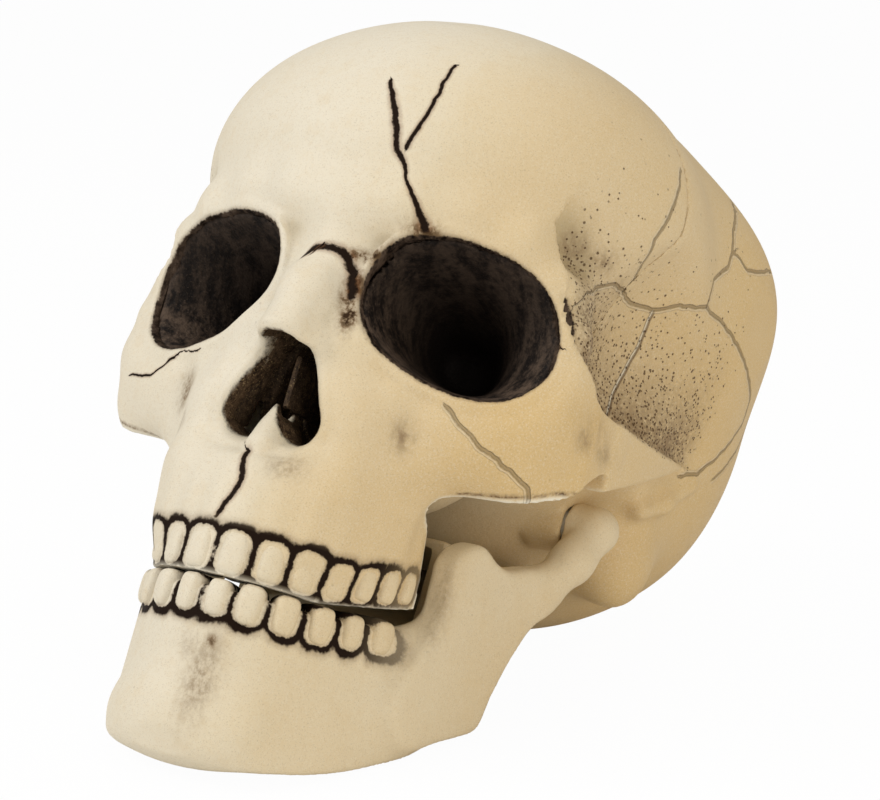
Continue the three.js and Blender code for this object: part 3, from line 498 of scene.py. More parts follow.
def rear_shell(p):
    x, y, z = p
    solid = rear_solid(p)
    wall = either(both(solid, -(solid + REAR_WALL)), both(barrel(p, **BOSS), solid))
    room = either(PARTING + HALF_GAP - y, both(head_field(p) + FACE_WALL + INSERT_GAP, z + 4))
    prong = both(arch_field(p), -52 - y) - PIECE_GAP
    hole = both(np.sqrt(x * x + (y - 20) ** 2) - 16, z)
    return both(wall, room, -prong, -hole, -barrel(p, BUSH_BORE, root=25))


def jaw_shell(p):
    collar = both(bar(p, [(43, *HINGE, 6.0), (48.5, *HINGE, 5.5)]), 42.6 - p[0])
    return both(soft_min(jaw_field(p), collar, 1.5), -barrel(p, PIN_BORE, end=50.5))


def cup_shell(p):
    return both(orbit_shape(p, CUP_WALL), -orbit_shape(p), head_field(p) + 1.45)


def nose_shell(p):
    x, y, z = p
    walls = both(nose_shape(p, CUP_WALL), -nose_shape(p), head_field(p) + FACE_WALL + INSERT_GAP)
    septum = both(x - 0.7, -90 - y, y + 73, -15 - z, z - 3, nose_shape(p, -PIECE_GAP))
    return either(walls, septum)


# Rows of teeth
class Row:
    """A row of teeth on the front half of an ellipse, measured along its length from the middle."""

    def __init__(self, front, half, back, table, z, rise, sign):
        self.front, self.half, self.back, self.table = front, half, back, table
        self.z, self.rise, self.sign = z, rise, sign
        self.a = np.linspace(0, math.pi / 2 + 0.35, 600)
        x, y = self.middle(self.a)
        self.run = np.concatenate([[0], np.cumsum(np.hypot(np.diff(x), np.diff(y)))])

    def middle(self, a):
        """The row's middle line at an angle."""
        return self.half * np.sin(a), self.back - (self.back - self.front) * np.cos(a)

    def place(self, run):
        a = np.interp(run, self.run, self.a)
        return self.middle(a), math.atan2((self.back - self.front) * math.sin(a), self.half * math.cos(a))

    def height(self, y):
        return self.z + rise_of(y, self.rise)

    def distance(self, v):
        """Distance on the row's face from the nearest tooth's outline, negative on a tooth."""
        depth = self.back - self.front
        w = to_left(v)[:, :2]
        foot = w
        for _ in range(4):
            a = np.arctan2(foot[:, 0] / self.half, (self.back - foot[:, 1]) / depth)
            on = np.stack(self.middle(a), -1)
            out = np.stack([np.sin(a) / self.half, -np.cos(a) / depth], -1)
            out /= np.linalg.norm(out, axis=1)[:, None]
            foot = w - ((w - on) * out).sum(-1)[:, None] * out
        run = np.interp(a, self.a, self.run)
        out = np.full(len(v), 1e3)
        up = v[:, 2] - self.height(v[:, 1])
        for at, width, height in self.table:
            r = CROWN_EDGE * width
            q = np.abs(np.stack([run - at, up], -1)) - (0.44 * width - r, height / 2 - r)
            d = np.hypot(*np.maximum(q, 0).T) + np.minimum(q.max(-1), 0) - r
            out = np.minimum(out, d)
        return out


def tooth_mesh(width, height, depth, rng, sign):
    """A squarish crown, rounded and a little narrower at the gum, flat at its edge."""
    nu, nv = 40, 20
    u = np.linspace(0, 2 * math.pi, nu, endpoint=False)
    v = np.linspace(-math.pi / 2, math.pi / 2, nv + 1)[1:-1]
    power = lambda a, e: np.sign(a) * np.abs(a) ** e
    uu, vv = np.meshgrid(u, v)
    x = power(np.cos(vv), 0.42) * power(np.cos(uu), 0.52)
    y = power(np.cos(vv), 0.30) * power(np.sin(uu), 0.62)
    z = power(np.sin(vv), 0.72)
    narrow = 1 - 0.06 * (1 + sign * z) - 0.12 * np.clip(sign * z, 0, 1) ** 3 + 0.03 * rng.standard_normal()
    x = x * narrow
    z = np.where(sign * z < 0, np.sign(z) * np.abs(z) ** 0.8, z)
    pts = np.stack([x * width / 2, y * depth, z * height / 2], -1).reshape(-1, 3)
    pts = np.concatenate([pts, [[0, 0, -height / 2], [0, 0, height / 2]]])
    grid = np.arange((nv - 1) * nu).reshape(nv - 1, nu)
    right = np.roll(grid, -1, 1)
    sides = np.stack([grid[:-1], right[:-1], right[1:], grid[1:]], -1).reshape(-1, 4)
    south, north = np.full(nu, grid.size), np.full(nu, grid.size + 1)
    low_cap = np.stack([south, right[0], grid[0], grid[0]], -1)
    high_cap = np.stack([north, grid[-1], right[-1], right[-1]], -1)
    return pts, np.concatenate([sides, low_cap, high_cap])


def teeth(row, rng):
    all_points, all_faces, n = [], [], 0
    for at, width, height in row.table:
        for side in (1, -1):
            (x, y), angle = row.place(at)
            pts, faces = tooth_mesh(width * 0.96, height * (1 + 0.04 * rng.standard_normal()),
                                    5.6 + 0.12 * rng.standard_normal(), rng, row.sign)
            a = side * angle + 0.05 * rng.standard_normal()
            c, s = math.cos(a), math.sin(a)
            px = side * x + pts[:, 0] * c - pts[:, 1] * s
            py = y + pts[:, 0] * s + pts[:, 1] * c
            all_points.append(np.stack([px, py, row.height(y) + pts[:, 2]], -1))
            all_faces.append(faces + n)
            n += len(pts)
    return np.concatenate(all_points), np.concatenate(all_faces)


UPPER = Row(*UPPER_OVAL, UPPER_TEETH, UPPER_Z, UPPER_RISE, 1)
LOWER = Row(*LOWER_OVAL, LOWER_TEETH, LOWER_Z, LOWER_RISE, -1)

# Painted and moulded lines on the surface
SEAMS = {
    "seam_a": [[(59.9, -48.6, 72.6), (62.1, -51.7, 64), (61.9, -53.6, 56.9), (60.8, -54.4, 52.8), (57.5, -50.5, 47.6),
                (54.6, -46.1, 45.1), (53.4, -46.5, 42)],
               [(36.2, -84.5, -1.2), (40.5, -83.5, -4.8), (44.2, -81.7, -7.2), (51.5, -76, -11.1), (55.2, -72.3, -13.6),
                (54.8, -69.4, -16.7)]],
    "seam_b": [[(52.9, -46.8, 41.9), (51.7, -38.7, 41.7), (54.2, -30.9, 43.1), (58.5, -25.5, 46.9), (61.4, -16.2, 50.4),
                (62.1, -5.9, 50), (63.7, 4, 47.7), (64.2, 13.5, 44.3), (62.5, 24.5, 39.5), (60.8, 27.6, 33.4),
                (60.5, 21.6, 24.7), (58.8, 13.1, 16), (57, 4, 12)],
               [(59, 22, 16.5), (59.3, 25.9, 20.5), (58.6, 34.6, 31.1), (58.8, 37, 40)]],
    "seam_c": [[(53.9, -72.2, 28.8), (54, -68.4, 33.4), (52.6, -58.8, 38.4), (54.2, -55.3, 40.7), (52.9, -47.5, 42)],
               [(61.4, -16.2, 50.4), (61.5, -16.3, 57.2), (60.8, -8, 63.4), (59.7, -5, 68.7), (60.5, -1.6, 68.5),
                (61.9, 1.6, 66.6), (62.5, 7, 68.2), (61, 20, 73)],
               [(59.7, -5, 68.7), (57.2, -2.4, 75.2), (48.6, 11.6, 88.1)]],
}
FLASH = [[(54.1, -30.4, 42.7), (52.8, -29.1, 38.9), (51.8, -28, 34.8), (50.3, -28.5, 28), (49.7, -30.5, 22),
          (49.8, -31, 16)]]
CRACKS = {
    "crack_a": [([(3.2, -91.8, 70.4), (8.2, -93.4, 61.5), (10.8, -92.9, 53.3), (13.6, -92.4, 50.2), (16, -92.6, 45.5),
                  (18.4, -91.9, 42.4), (21.6, -89.4, 36.6)], (0.35, 0.6, 0.65, 0.6, 0.3, 0.5, 0.9)),
                ([(-6.6, -87.8, -15), (-1, -96.4, -22.7), (1.1, -100.6, -29.4), (-1.9, -100.4, -37.9)],
                 (0.2, 0.5, 0.6, 0.45)),
                ([(-51.8, -77.4, -5.3), (-42.8, -82.4, -5.6), (-33.4, -85.2, 0.6), (-27.5, -88.2, 1)],
                 (0.2, 0.3, 0.3, 0.2)),
                ([(-7, -95.5, 12), (-5.6, -95.5, 18), (-3.6, -94.5, 23), (-1.6, -93.7, 27.1), (2.2, -93, 27.8),
                  (5.6, -91.3, 26.6), (8.6, -91, 22.5), (10.3, -92, 17.5)], (0.3, 0.7, 0.9, 0.9, 0.9, 1.0, 1.2, 0.9))],
    "crack_b": [([(15.6, -86.8, 77.4), (15.5, -91.9, 64.1), (12.9, -92.7, 54.2)], (0.35, 0.4, 0.45)),
                ([(52.2, -73.8, 19), (53.3, -73.4, 18.8), (54.6, -72.9, 18.7)], (0.9, 0.6, 0.2)),
                ([(0, -91.5, 27), (-0.6, -93.5, 22.8)], (0.3, 0.12))],
}
STAINS = [((29.2, -86.2, -10.3), (2.0, 2.6), 0.55), ((-28.8, -86.5, -8.5), (2.0, 3.2), 0.75),
          ((9.5, -98.2, -23.8), (3.2, 2.2), 0.42), ((-25.3, -89.6, -18.7), (1.4, 3.6), 0.45),
          ((10, -92.3, 18.5), (1.7, 3.6), 1.8), ((11.6, -93.3, 12.8), (1.5, 3.2), 1.5),
          ((21.5, -89.3, 35.8), (3.0, 1.6), 1.3), ((8.5, -90.6, 28), (3.0, 1.1), 1.2),
          ((13.5, -90.8, 28), (2.6, 1.6), 1.4), ((16.5, -90.2, 30.2), (3.0, 1.8), 1.0),
          ((5.5, -100, -72.5), (2.6, 6.5), 0.6), ((5.3, -99.5, -64.8), (0.9, 1.1), 1.0),
          ((1.5, -100, -66.5), (2.4, 2.4), 0.35), ((36.8, -61, -39.5), (0.8, 1.1), 1.0),
          ((36, -61, -41), (2.2, 7), 0.35)]
SIDE_STAINS = [((49.6, -70.6, 43.6), (2.6, 2.2), 0.75), ((53.6, -63, 43.4), (2.8, 2.0), 0.5),
               ((61.7, -64.5, 1.1), (2.6, 2.0), 0.45), ((62.8, -55, 0.8), (3.0, 2.0), 0.4),
               ((55, -50, 41), (4, 1.6), 0.35), ((60, -60, 4), (5, 3), 0.25)]


def snap(points, field):
    """Draws points onto the zero level of a field."""
    p = np.array(points, float)
    for _ in range(12):
        here = at_points(field, p)
        slope = np.stack([at_points(field, p + d) - at_points(field, p - d) for d in np.eye(3) * 0.5], -1)
        p = p - slope * (here / np.maximum((slope ** 2).sum(-1), 0.1))[:, None]
    return p


def wander(points, rng, size, step=1.5):
    """A line through the points, broken into short stretches that stray a little."""
    p = np.asarray(points, float)
    out = [p[0]]
    for a, b in zip(p[:-1], p[1:]):
        n = max(int(np.linalg.norm(b - a) / step), 1)
        for i in range(1, n + 1):
            stray = rng.standard_normal(3) * size if i < n else 0
            out.append(a + (b - a) * i / n + stray)
    return np.array(out)


def normals(v, quads):
    """Outward directions at the points of a mesh."""
    out = np.zeros_like(v)
    across = np.cross(v[quads[:, 2]] - v[quads[:, 0]], v[quads[:, 3]] - v[quads[:, 1]])
    for k in range(4):
        np.add.at(out, quads[:, k], across)
    return out / np.maximum(np.linalg.norm(out, axis=1), 1e-9)[:, None]


def trace(marks, key, v, out, line, wide):
    """Writes the signed distance from a line, in half widths of the line, and 1 near the line."""
    near = np.flatnonzero(((v > line.min(0) - 5) & (v < line.max(0) + 5)).all(-1))
    if len(near) == 0:
        return
    w, best, signed, beyond = v[near], np.full(len(near), 1e3), np.zeros(len(near)), np.zeros(len(near))
    half = np.interp(np.linspace(0, 1, len(line)), np.linspace(0, 1, len(wide)), wide)
    for k, (a, b) in enumerate(zip(line[:-1], line[1:])):
        e = b - a
        along = ((w - a) @ e) / max(e @ e, 1e-9)
        t = np.clip(along, 0, 1)
        off = w - a - t[:, None] * e
        d = np.linalg.norm(off, axis=1)
        closer = d < best
        side = np.sign((np.cross(e[None, :], out[near]) * off).sum(-1))
        best[closer] = d[closer]
        signed[closer] = (side * d / (half[k] + (half[k + 1] - half[k]) * t))[closer]
        past = np.zeros(len(w))
        if k == 0:
            past = np.maximum(past, -along * np.linalg.norm(e))
        if k == len(line) - 2:
            past = np.maximum(past, (along - 1) * np.linalg.norm(e))
        beyond[closer] = past[closer]
    on = np.clip(2.6 - best, 0, 1) * np.clip(1 - beyond / 0.8, 0, 1)
    use = best < marks[key + "_off"][near]
    marks[key + "_off"][near[use]] = best[use]
    marks[key][near[use]] = np.clip(signed[use], -12, 12)
    marks[key + "_on"][near[use]] = on[use]


def trace_all(marks, v, quads, field, lines, stray):
    out = normals(v, quads)
    for number, (key, group) in enumerate(lines.items()):
        rng = np.random.default_rng(40 + number)
        marks[key], marks[key + "_on"] = np.full(len(v), 9.0), np.zeros(len(v))
        marks[key + "_off"] = np.full(len(v), 1e3)
        for one in group:
            points, wide = one if isinstance(one, tuple) else (one, (0.42, 0.42))
            line = snap(wander(snap(points, field), rng, stray), field)
            trace(marks, key, v, out, line, wide)
        del marks[key + "_off"]


def stain_mask(v, stains):
    out = np.zeros(len(v))
    for centre, (wide, high), strength in stains:
        d = (((v[:, :2] - centre[:2]) / wide) ** 2).sum(-1) + ((v[:, 2] - centre[2]) / high) ** 2
        out = np.maximum(out, strength * np.exp(-0.5 * d))
    return out


def to_left(v):
    """Points mirrored to the skull's left, on which the forms are drawn."""
    return np.stack([np.abs(v[:, 0]), v[:, 1], v[:, 2]], -1)


def at_points(field, v):
    return field(tuple(to_left(v).T[:, :, None, None])).ravel()


# Meshes
def tipped(v):
    c, s = math.cos(TIP), math.sin(TIP)
    return np.stack([v[:, 0], v[:, 1] * c + v[:, 2] * s, v[:, 2] * c - v[:, 1] * s], -1)


def to_rest(v):
    return tipped(v) + REST_SHIFT


def in_scene(name, data):
    obj = bpy.data.objects.new(name, data)
    bpy.context.scene.collection.objects.link(obj)
    return obj


def build(name, points, quads, marks, body, nodes, material):
    v = to_rest(points)
    low, high = CAD_BOX
    v = np.clip(v, low + 0.02, high - 0.02)
    mesh = bpy.data.meshes.new(name)
    mesh.vertices.add(len(v))
    mesh.vertices.foreach_set("co", (v * MM).astype(np.float32).ravel())
    fourth = quads[:, 2] != quads[:, 3]
    lengths = 3 + fourth
    flat = quads[np.stack([np.ones_like(fourth)] * 3 + [fourth], -1)]
    mesh.loops.add(len(flat))
    mesh.loops.foreach_set("vertex_index", flat.astype(np.int32))
    mesh.polygons.add(len(quads))
    mesh.polygons.foreach_set("loop_start", np.concatenate([[0], np.cumsum(lengths)[:-1]]).astype(np.int32))
    mesh.update(calc_edges=True)
    mesh.validate()
    mesh.shade_smooth()
    mesh.set_sharp_from_angle(angle=math.radians(50))
    for key, values in marks.items():
        attribute = mesh.attributes.new(key, "FLOAT", "POINT")
        attribute.data.foreach_set("value", np.asarray(values, np.float32))
    mesh.materials.append(material)
    obj = in_scene(name, mesh)
    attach(obj, body)
    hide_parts(*nodes)


def cad_box():
    low, high = np.full(3, 1e9), np.full(3, -1e9)
    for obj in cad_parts.values():
        co = np.empty(len(obj.data.vertices) * 3, np.float32)
        obj.data.vertices.foreach_get("co", co)
        co = co.reshape(-1, 3) * 1000
        low, high = np.minimum(low, co.min(0)), np.maximum(high, co.max(0))
    return low, high


CAD_BOX = cad_box()


# Paint
def put(tree, socket, value):
    if isinstance(value, bpy.types.NodeSocket):
        tree.links.new(value, socket)
    elif isinstance(value, tuple) and len(value) == 3 and len(socket.default_value) == 4:
        socket.default_value = (*value, 1.0)
    else:
        socket.default_value = value


def new_node(tree, kind, inputs=None, **settings):
    """A new node with these settings, and these inputs by name or number."""
    node = tree.nodes.new("ShaderNode" + kind)
    for name, value in settings.items():
        setattr(node, name, value)
    for name, value in (inputs or {}).items():
        put(tree, node.inputs[name], value)
    return node


class Paint:
    """Builds a material's nodes."""

    def __init__(self, name):
        self.material = bpy.data.materials.new(name)
        self.material.use_nodes = True
        self.tree = self.material.node_tree
        self.tree.nodes.clear()
        self.color = None
        self.shader = self.node("BsdfPrincipled")
        self.out = self.node("OutputMaterial", {"Surface": self.shader.outputs["BSDF"]})
        self.where = self.node("TexCoord").outputs["Object"]

    def node(self, kind, inputs=None, **settings):
        return new_node(self.tree, kind, inputs, **settings)

    def set(self, name, value):
        put(self.tree, self.shader.inputs[name], value)

    def math(self, operation, a, b=0.0):
        return self.node("Math", {0: a, 1: b}, operation=operation).outputs[0]

    def plus(self, a, b):
        return self.math("ADD", a, b)

    def minus(self, a, b):
        return self.math("SUBTRACT", a, b)

    def times(self, a, b):
        return self.math("MULTIPLY", a, b)

    def size(self, a):
        return self.math("ABSOLUTE", a)

    def mark(self, name):
        return self.node("Attribute", attribute_name=name).outputs["Fac"]

    def noise(self, scale, detail=2.0, roughness=0.5, stretch=None):
        where = self.where
        if stretch is not None:
            where = self.node("Mapping", {"Scale": stretch, "Vector": where}).outputs["Vector"]
        inputs = {"Vector": where, "Scale": scale, "Detail": detail, "Roughness": roughness}
        return self.node("TexNoise", inputs).outputs["Fac"]

    def ramp(self, value, low, high, smooth=True):
        """0 at low, 1 at high."""
        inputs = {"Value": value, "From Min": low, "From Max": high}
        return self.node("MapRange", inputs, interpolation_type="SMOOTHSTEP" if smooth else "LINEAR").outputs["Result"]

    def fade(self, value, low, high):
        """1 at low, 0 at high."""
        return self.minus(1.0, self.ramp(value, low, high))

    def mix(self, share, a, b):
        return self.node("Mix", {"Factor": share, 6: a, 7: b}, data_type="RGBA").outputs[2]

    def over(self, share, color):
        """Lays a coat of paint over the color so far."""
        self.color = self.mix(share, self.color, color)

    def bump(self, height, distance, strength=1.0):
        inputs = {"Strength": strength, "Distance": distance, "Height": height}
        self.set("Normal", self.node("Bump", inputs).outputs["Normal"])


WHITE = (0.800, 0.735, 0.605)
CREAM = (0.745, 0.640, 0.455)
TAN = (0.655, 0.468, 0.222)
OLIVE_SHADE = (0.340, 0.265, 0.135)
SHADE = (0.200, 0.130, 0.055)
UMBER = (0.210, 0.130, 0.062)
BROWN = (0.095, 0.050, 0.022)
BLACK = (0.014, 0.007, 0.004)
RUST = (0.230, 0.105, 0.045)
SOOT = (0.0060, 0.0032, 0.0022)
# the brushed grey-brown that shows through the soot, partly paint and partly a painted sheen
DUST_AND_SHEEN = (0.115, 0.078, 0.055)


def soot_color(p, fine, grain, lit=None):
    """Nearly black paint that lets brushed grey-brown through where it is lit, partly brushed paint and partly a
    painted sheen, with pale specks as painted glints.
    """
    lit = p.mark("lit") if lit is None else lit
    strokes = p.noise(260, 3, 0.6, (1.0, 1.0, 0.28))
    # the brushed grey-brown shows where lit: a painted sheen over the brush strokes
    brushed_and_lit = p.times(p.ramp(p.plus(strokes, p.times(fine, 0.6)), 0.62, 1.0), lit)
    color = p.mix(brushed_and_lit, SOOT, DUST_AND_SHEEN)
    # pale specks where lit: painted glints
    speck = p.times(p.ramp(grain, 0.58, 0.74), p.times(lit, 0.35))
    return p.mix(speck, color, (0.22, 0.16, 0.12))


def nose_color(p, fine, grain):
    """Brown paint dabbed over dark plastic, with pale speckles."""
    large = p.noise(90, 3, 0.6)
    share = p.ramp(p.plus(fine, p.times(large, 0.6)), 0.6, 1.15)
    color = p.mix(share, (0.020, 0.012, 0.008), (0.13, 0.082, 0.048))
    return p.mix(p.times(p.ramp(grain, 0.56, 0.72), 0.3), color, TAN)


def bone_paint(name):
    """Cream plastic with a tan coat that also carries painted shade, an olive coat of painted shade in hollows, grain,
    stains, seams and a flash line with painted shade and highlights, dark cracks and soot round the openings.
    """
    p = Paint(name)
    large = p.noise(28, 3, 0.55)
    medium = p.noise(160, 3, 0.6)
    fine = p.noise(900, 3, 0.65)
    grain = p.noise(2200, 2, 0.6)
    # the tan coat's share, which also carries painted shade: tanner where less light falls
    wash = p.plus(p.mark("wash"), p.times(p.minus(large, 0.5), 0.45))
    p.color = p.mix(p.ramp(wash, 0.0, 0.5, False), WHITE, CREAM)
    p.over(p.ramp(wash, 0.4, 1.1, False), TAN)
    # the last coat is painted shade: olive darkening the hollows, near by and farther out
    for coat, low, high, share, color in (
            (medium, 0.5, 0.8, 0.20, TAN), (fine, 0.45, 0.75, 0.16, TAN), (grain, 0.45, 0.75, 0.32, WHITE),
            (p.noise(3400, 1, 0.5), 0.55, 0.75, 0.22, UMBER), (p.mark("hollow"), 0.0, 1.0, 0.55, OLIVE_SHADE)):
        p.over(p.times(p.ramp(coat, low, high), share), color)
    umber = p.times(p.mark("umber"), p.ramp(p.plus(fine, p.times(medium, 0.6)), 0.4, 0.95))
    p.over(p.times(umber, 0.8), UMBER)
    brushed = p.noise(420, 3, 0.7, (1.0, 1.0, 0.35))
    mottle = p.ramp(p.plus(p.times(fine, 0.5), brushed), 0.55, 0.95)
    stain = p.times(p.mark("stain"), p.plus(0.35, p.times(mottle, 0.9)))
    p.over(p.math("MINIMUM", p.times(stain, 1.15), 0.9), UMBER)
    p.over(p.ramp(stain, 0.55, 1.35), (0.040, 0.021, 0.010))
    height = p.plus(p.plus(p.times(fine, 0.16), p.times(medium, 0.42)), p.times(grain, 0.07))
    jitter = p.minus(fine, 0.5)
    for key in ("seam_a", "seam_b", "seam_c"):
        at = p.plus(p.mark(key), jitter)
        on = p.mark(key + "_on")
        # groove: painted shade darkening the groove; bank: a painted highlight along one side of it
        groove = p.times(p.fade(p.size(at), 0.4, 1.4), on)
        highlit_bank = p.times(p.fade(p.size(p.minus(at, 2.0)), 0.2, 1.0), on)
        p.over(p.times(groove, 0.62), SHADE)
        p.over(p.times(highlit_bank, 0.20), WHITE)
        height = p.plus(height, p.minus(p.times(highlit_bank, 0.35), p.times(groove, 0.75)))
    at, on = p.mark("flash"), p.mark("flash_on")
    # crest: a painted highlight along the flash ridge; shade: a painted shadow along one side of it
    crest_highlight = p.times(p.fade(p.size(at), 0.3, 1.2), on)
    shade = p.times(p.fade(p.size(p.plus(at, 1.7)), 0.2, 1.2), on)
    p.over(p.times(crest_highlight, 0.6), WHITE)
    p.over(p.times(shade, 0.7), BROWN)
    height = p.plus(height, crest_highlight)
    pits = None
    for scale, low, high in ((760, 0.15, 0.32), (1250, 0.20, 0.40)):
        dots = p.node("TexVoronoi", {"Vector": p.where, "Scale": scale})
        lot = p.node("SeparateColor", {0: dots.outputs["Color"]}).outputs[0]
        chosen = p.ramp(p.minus(p.mark("pits"), lot), 0.0, 0.04)
        pit = p.times(p.fade(dots.outputs["Distance"], low, high), chosen)
        pits = pit if pits is None else p.math("MAXIMUM", pits, pit)
    p.over(p.times(pits, 0.85), BROWN)
    height = p.minus(height, p.times(pits, 0.4))
    for key in ("crack_a", "crack_b"):
        at = p.size(p.plus(p.mark(key), p.times(jitter, 1.5)))
        on = p.mark(key + "_on")
        halo = p.times(p.fade(at, 0.8, 3.4), on)
        core = p.times(p.fade(at, 0.75, 1.35), p.ramp(on, 0.0, 0.5))
        p.over(p.times(halo, 0.5), RUST)
        p.over(core, BLACK)
        height = p.minus(height, p.times(core, 0.9))
    p.over(p.times(p.mark("lip"), p.ramp(fine, 0.2, 0.5)), (0.86, 0.81, 0.68))
    rough_edge = p.plus(p.times(jitter, 1.1), p.times(p.minus(brushed, 0.5), 1.3))
    gum_at = p.plus(p.mark("gum"), p.times(rough_edge, 0.8))
    outer = p.minus(gum_at, p.times(p.minus(medium, 0.42), 3.2))
    halo = p.times(p.fade(outer, 0.7, 3.4), p.ramp(gum_at, -0.9, 0.3))
    p.over(p.times(p.times(halo, 0.6), p.mark("gumpaint")), UMBER)
    core = p.times(p.fade(outer, 0.85, 1.7), p.ramp(gum_at, -0.2, 0.12))
    p.over(p.times(core, p.mark("gumpaint")), BLACK)
    soot_at = p.plus(p.mark("soot"), p.times(rough_edge, 0.75))
    dusk = p.fade(soot_at, -0.1, 0.9)
    p.over(p.times(dusk, 0.5), UMBER)
    # the soot round the openings, with its brushed grey-brown and painted sheen
    p.over(p.fade(soot_at, -0.1, 0.25), soot_color(p, fine, grain, 0.75))
    inside = p.plus(p.mark("brown"), p.times(rough_edge, 0.6))
    p.over(p.fade(inside, -0.2, 0.5), nose_color(p, fine, grain))
    p.set("Base Color", p.color)
    p.set("Roughness", p.plus(0.46, p.times(fine, 0.22)))
    grey = p.node("RGBToBW", {0: p.color}).outputs[0]
    p.set("Specular IOR Level", p.plus(0.05, p.times(p.ramp(grey, 0.02, 0.3), 0.31)))
    p.bump(height, 0.0006)
    return p.material


def inner_paint(name, fine, grain, color_of, roughness, shine):
    """Matt paint inside a hollow; fine and grain are noises."""
    p = Paint(name)
    fine, grain = p.noise(*fine), p.noise(*grain)
    p.set("Base Color", color_of(p, fine, grain))
    p.set("Roughness", p.plus(roughness, p.times(fine, 0.3)))
    p.set("Specular IOR Level", shine)
    p.bump(p.plus(fine, p.times(grain, 0.3)), 0.0004)
    return p.material


def plain_paint(name, low, high, roughness, metallic=0.0, scale=900, stretch=None):
    p = Paint(name)
    fine = p.noise(scale, 3, 0.6, stretch)
    p.set("Base Color", p.mix(p.ramp(fine, 0.3, 0.7), low, high))
    p.set("Roughness", p.plus(roughness, p.times(fine, 0.15)))
    p.set("Metallic", metallic)
    p.bump(fine, 0.0001, 0.5)
    return p.material


bone = bone_paint("bone_paint")
socket_material = inner_paint("socket_paint", (900, 3, 0.65), (2200, 2, 0.6), soot_color, 0.55, 0.2)
nose_material = inner_paint("nose_paint", (700, 4, 0.7), (2600, 2, 0.6), nose_color, 0.6, 0.15)


# Dressing
def wash_and_shade_of(v):
    """How tan the paint is, partly a tan coat and partly painted shade for the sides that get less light: paler on the
    brow and the crown, tanner to the left side, to the back and underneath.
    """
    x, y, z = v.T
    side = ramp(x, -12, 50)
    back = ramp(y, -85, 40)
    low = ramp(-z, -20, 90)
    cheek = ramp(x, 0, 14) * (1 - ramp(np.abs(z + 14), 18, 40)) * (1 - ramp(y, -62, -50))
    return 0.02 + 0.78 * side + 0.34 * back + 0.22 * low + 0.22 * cheek - 0.18 * ramp(z, 70, 115)


# Painted shade: how much the olive darkens a place, from how hollow it is near by and farther out.
def hollow_shade_of(near, far):
    small = np.clip((near - 0.53) / 0.19, 0, 1)
    large = np.clip((far - 0.52) / 0.22, 0, 1)
    return np.clip(0.5 * small + 0.6 * large, 0, 1)


def temple_marks(v):
    """Dots and a brown coat over the temple, densest just behind its crisp ridge."""
    x, y, z = to_left(v).T
    floor_z = np.interp(y, [b for b, _ in RIDGE[2:]], [c for _, c in RIDGE[2:]])
    above = z - floor_z
    inside = ramp(x, 42, 46) * ramp(above, -0.5, 0.8) * ramp(y, -74, -68) * (1 - ramp(y, -2, 10))
    low = np.exp(-(np.maximum(above, 0) / 19.0) ** 1.3)
    front = np.exp(-0.5 * ((y + 56) / 10) ** 2) * (1 - ramp(above, 24, 32))
    return inside * np.clip(1.1 * low + 0.6 * front, 0, 1), inside * np.clip(1.4 * low ** 1.4 + 0.5 * front, 0, 1)


def blank(n, **given):
    """The marks of n points, with no paint but the given."""
    plain = dict(wash=0.3, hollow=0.0, umber=0.0, stain=0.0, pits=0.012, soot=9.0, brown=9.0, gum=9.0, gumpaint=0.0,
                 lip=0.0)
    return {key: np.full(n, value) for key, value in plain.items()} | given


def common_marks(v, quads, field, bare):
    """The marks that every bone-coloured moulding has."""
    stain = np.maximum(stain_mask(v, STAINS), stain_mask(to_left(v), SIDE_STAINS))
    marks = blank(len(v), wash=wash_and_shade_of(v), stain=stain)
    if not bare:
        trace_all(marks, v, quads, field, SEAMS, 0.22)
        trace_all(marks, v, quads, field, {"flash": FLASH}, 0.12)
        marks["pits"], marks["umber"] = temple_marks(v)
        marks["pits"] = 0.012 + 0.95 * marks["pits"]
    return marks


def gum_paint(v, row, last):
    """Black between the crowns and round them, weaker on the last teeth."""
    up = v[:, 2] - row.height(v[:, 1])
    out = np.exp(-0.5 * (np.maximum(np.abs(up) - 6.0, 0) / 1.1) ** 2) * (1 - ramp(v[:, 1], last - 3, last))
    return out * (1 - 0.8 * ramp(-row.sign * up, 4.3, 5.0)) * (1 - 0.45 * ramp(v[:, 1], -80, -64))


def with_teeth(field, low, high, solid, row, seed):
    """A moulding's skin and its crowns as one mesh, how many points the skin has, and how hollow they are."""
    points, quads, near, far = skin(field, low, high, GRID, solid=solid)
    crowns, faces = teeth(row, np.random.default_rng(seed))
    n = len(points)
    return np.concatenate([points, crowns]), np.concatenate([quads, faces + n]), n, hollow_shade_of(near, far)


def tooth_marks(marks, v, n, hollow, row, tan, last):
    # the crowns' tan, partly painted shade: tanner to the left side
    marks["wash"][n:] = 0.12 + tan * ramp(v[n:, 0], 0, 26)
    marks["hollow"][:n] = hollow
    marks["gum"] = row.distance(v)
    marks["gumpaint"] = gum_paint(v, row, last)


GRID = 0.85

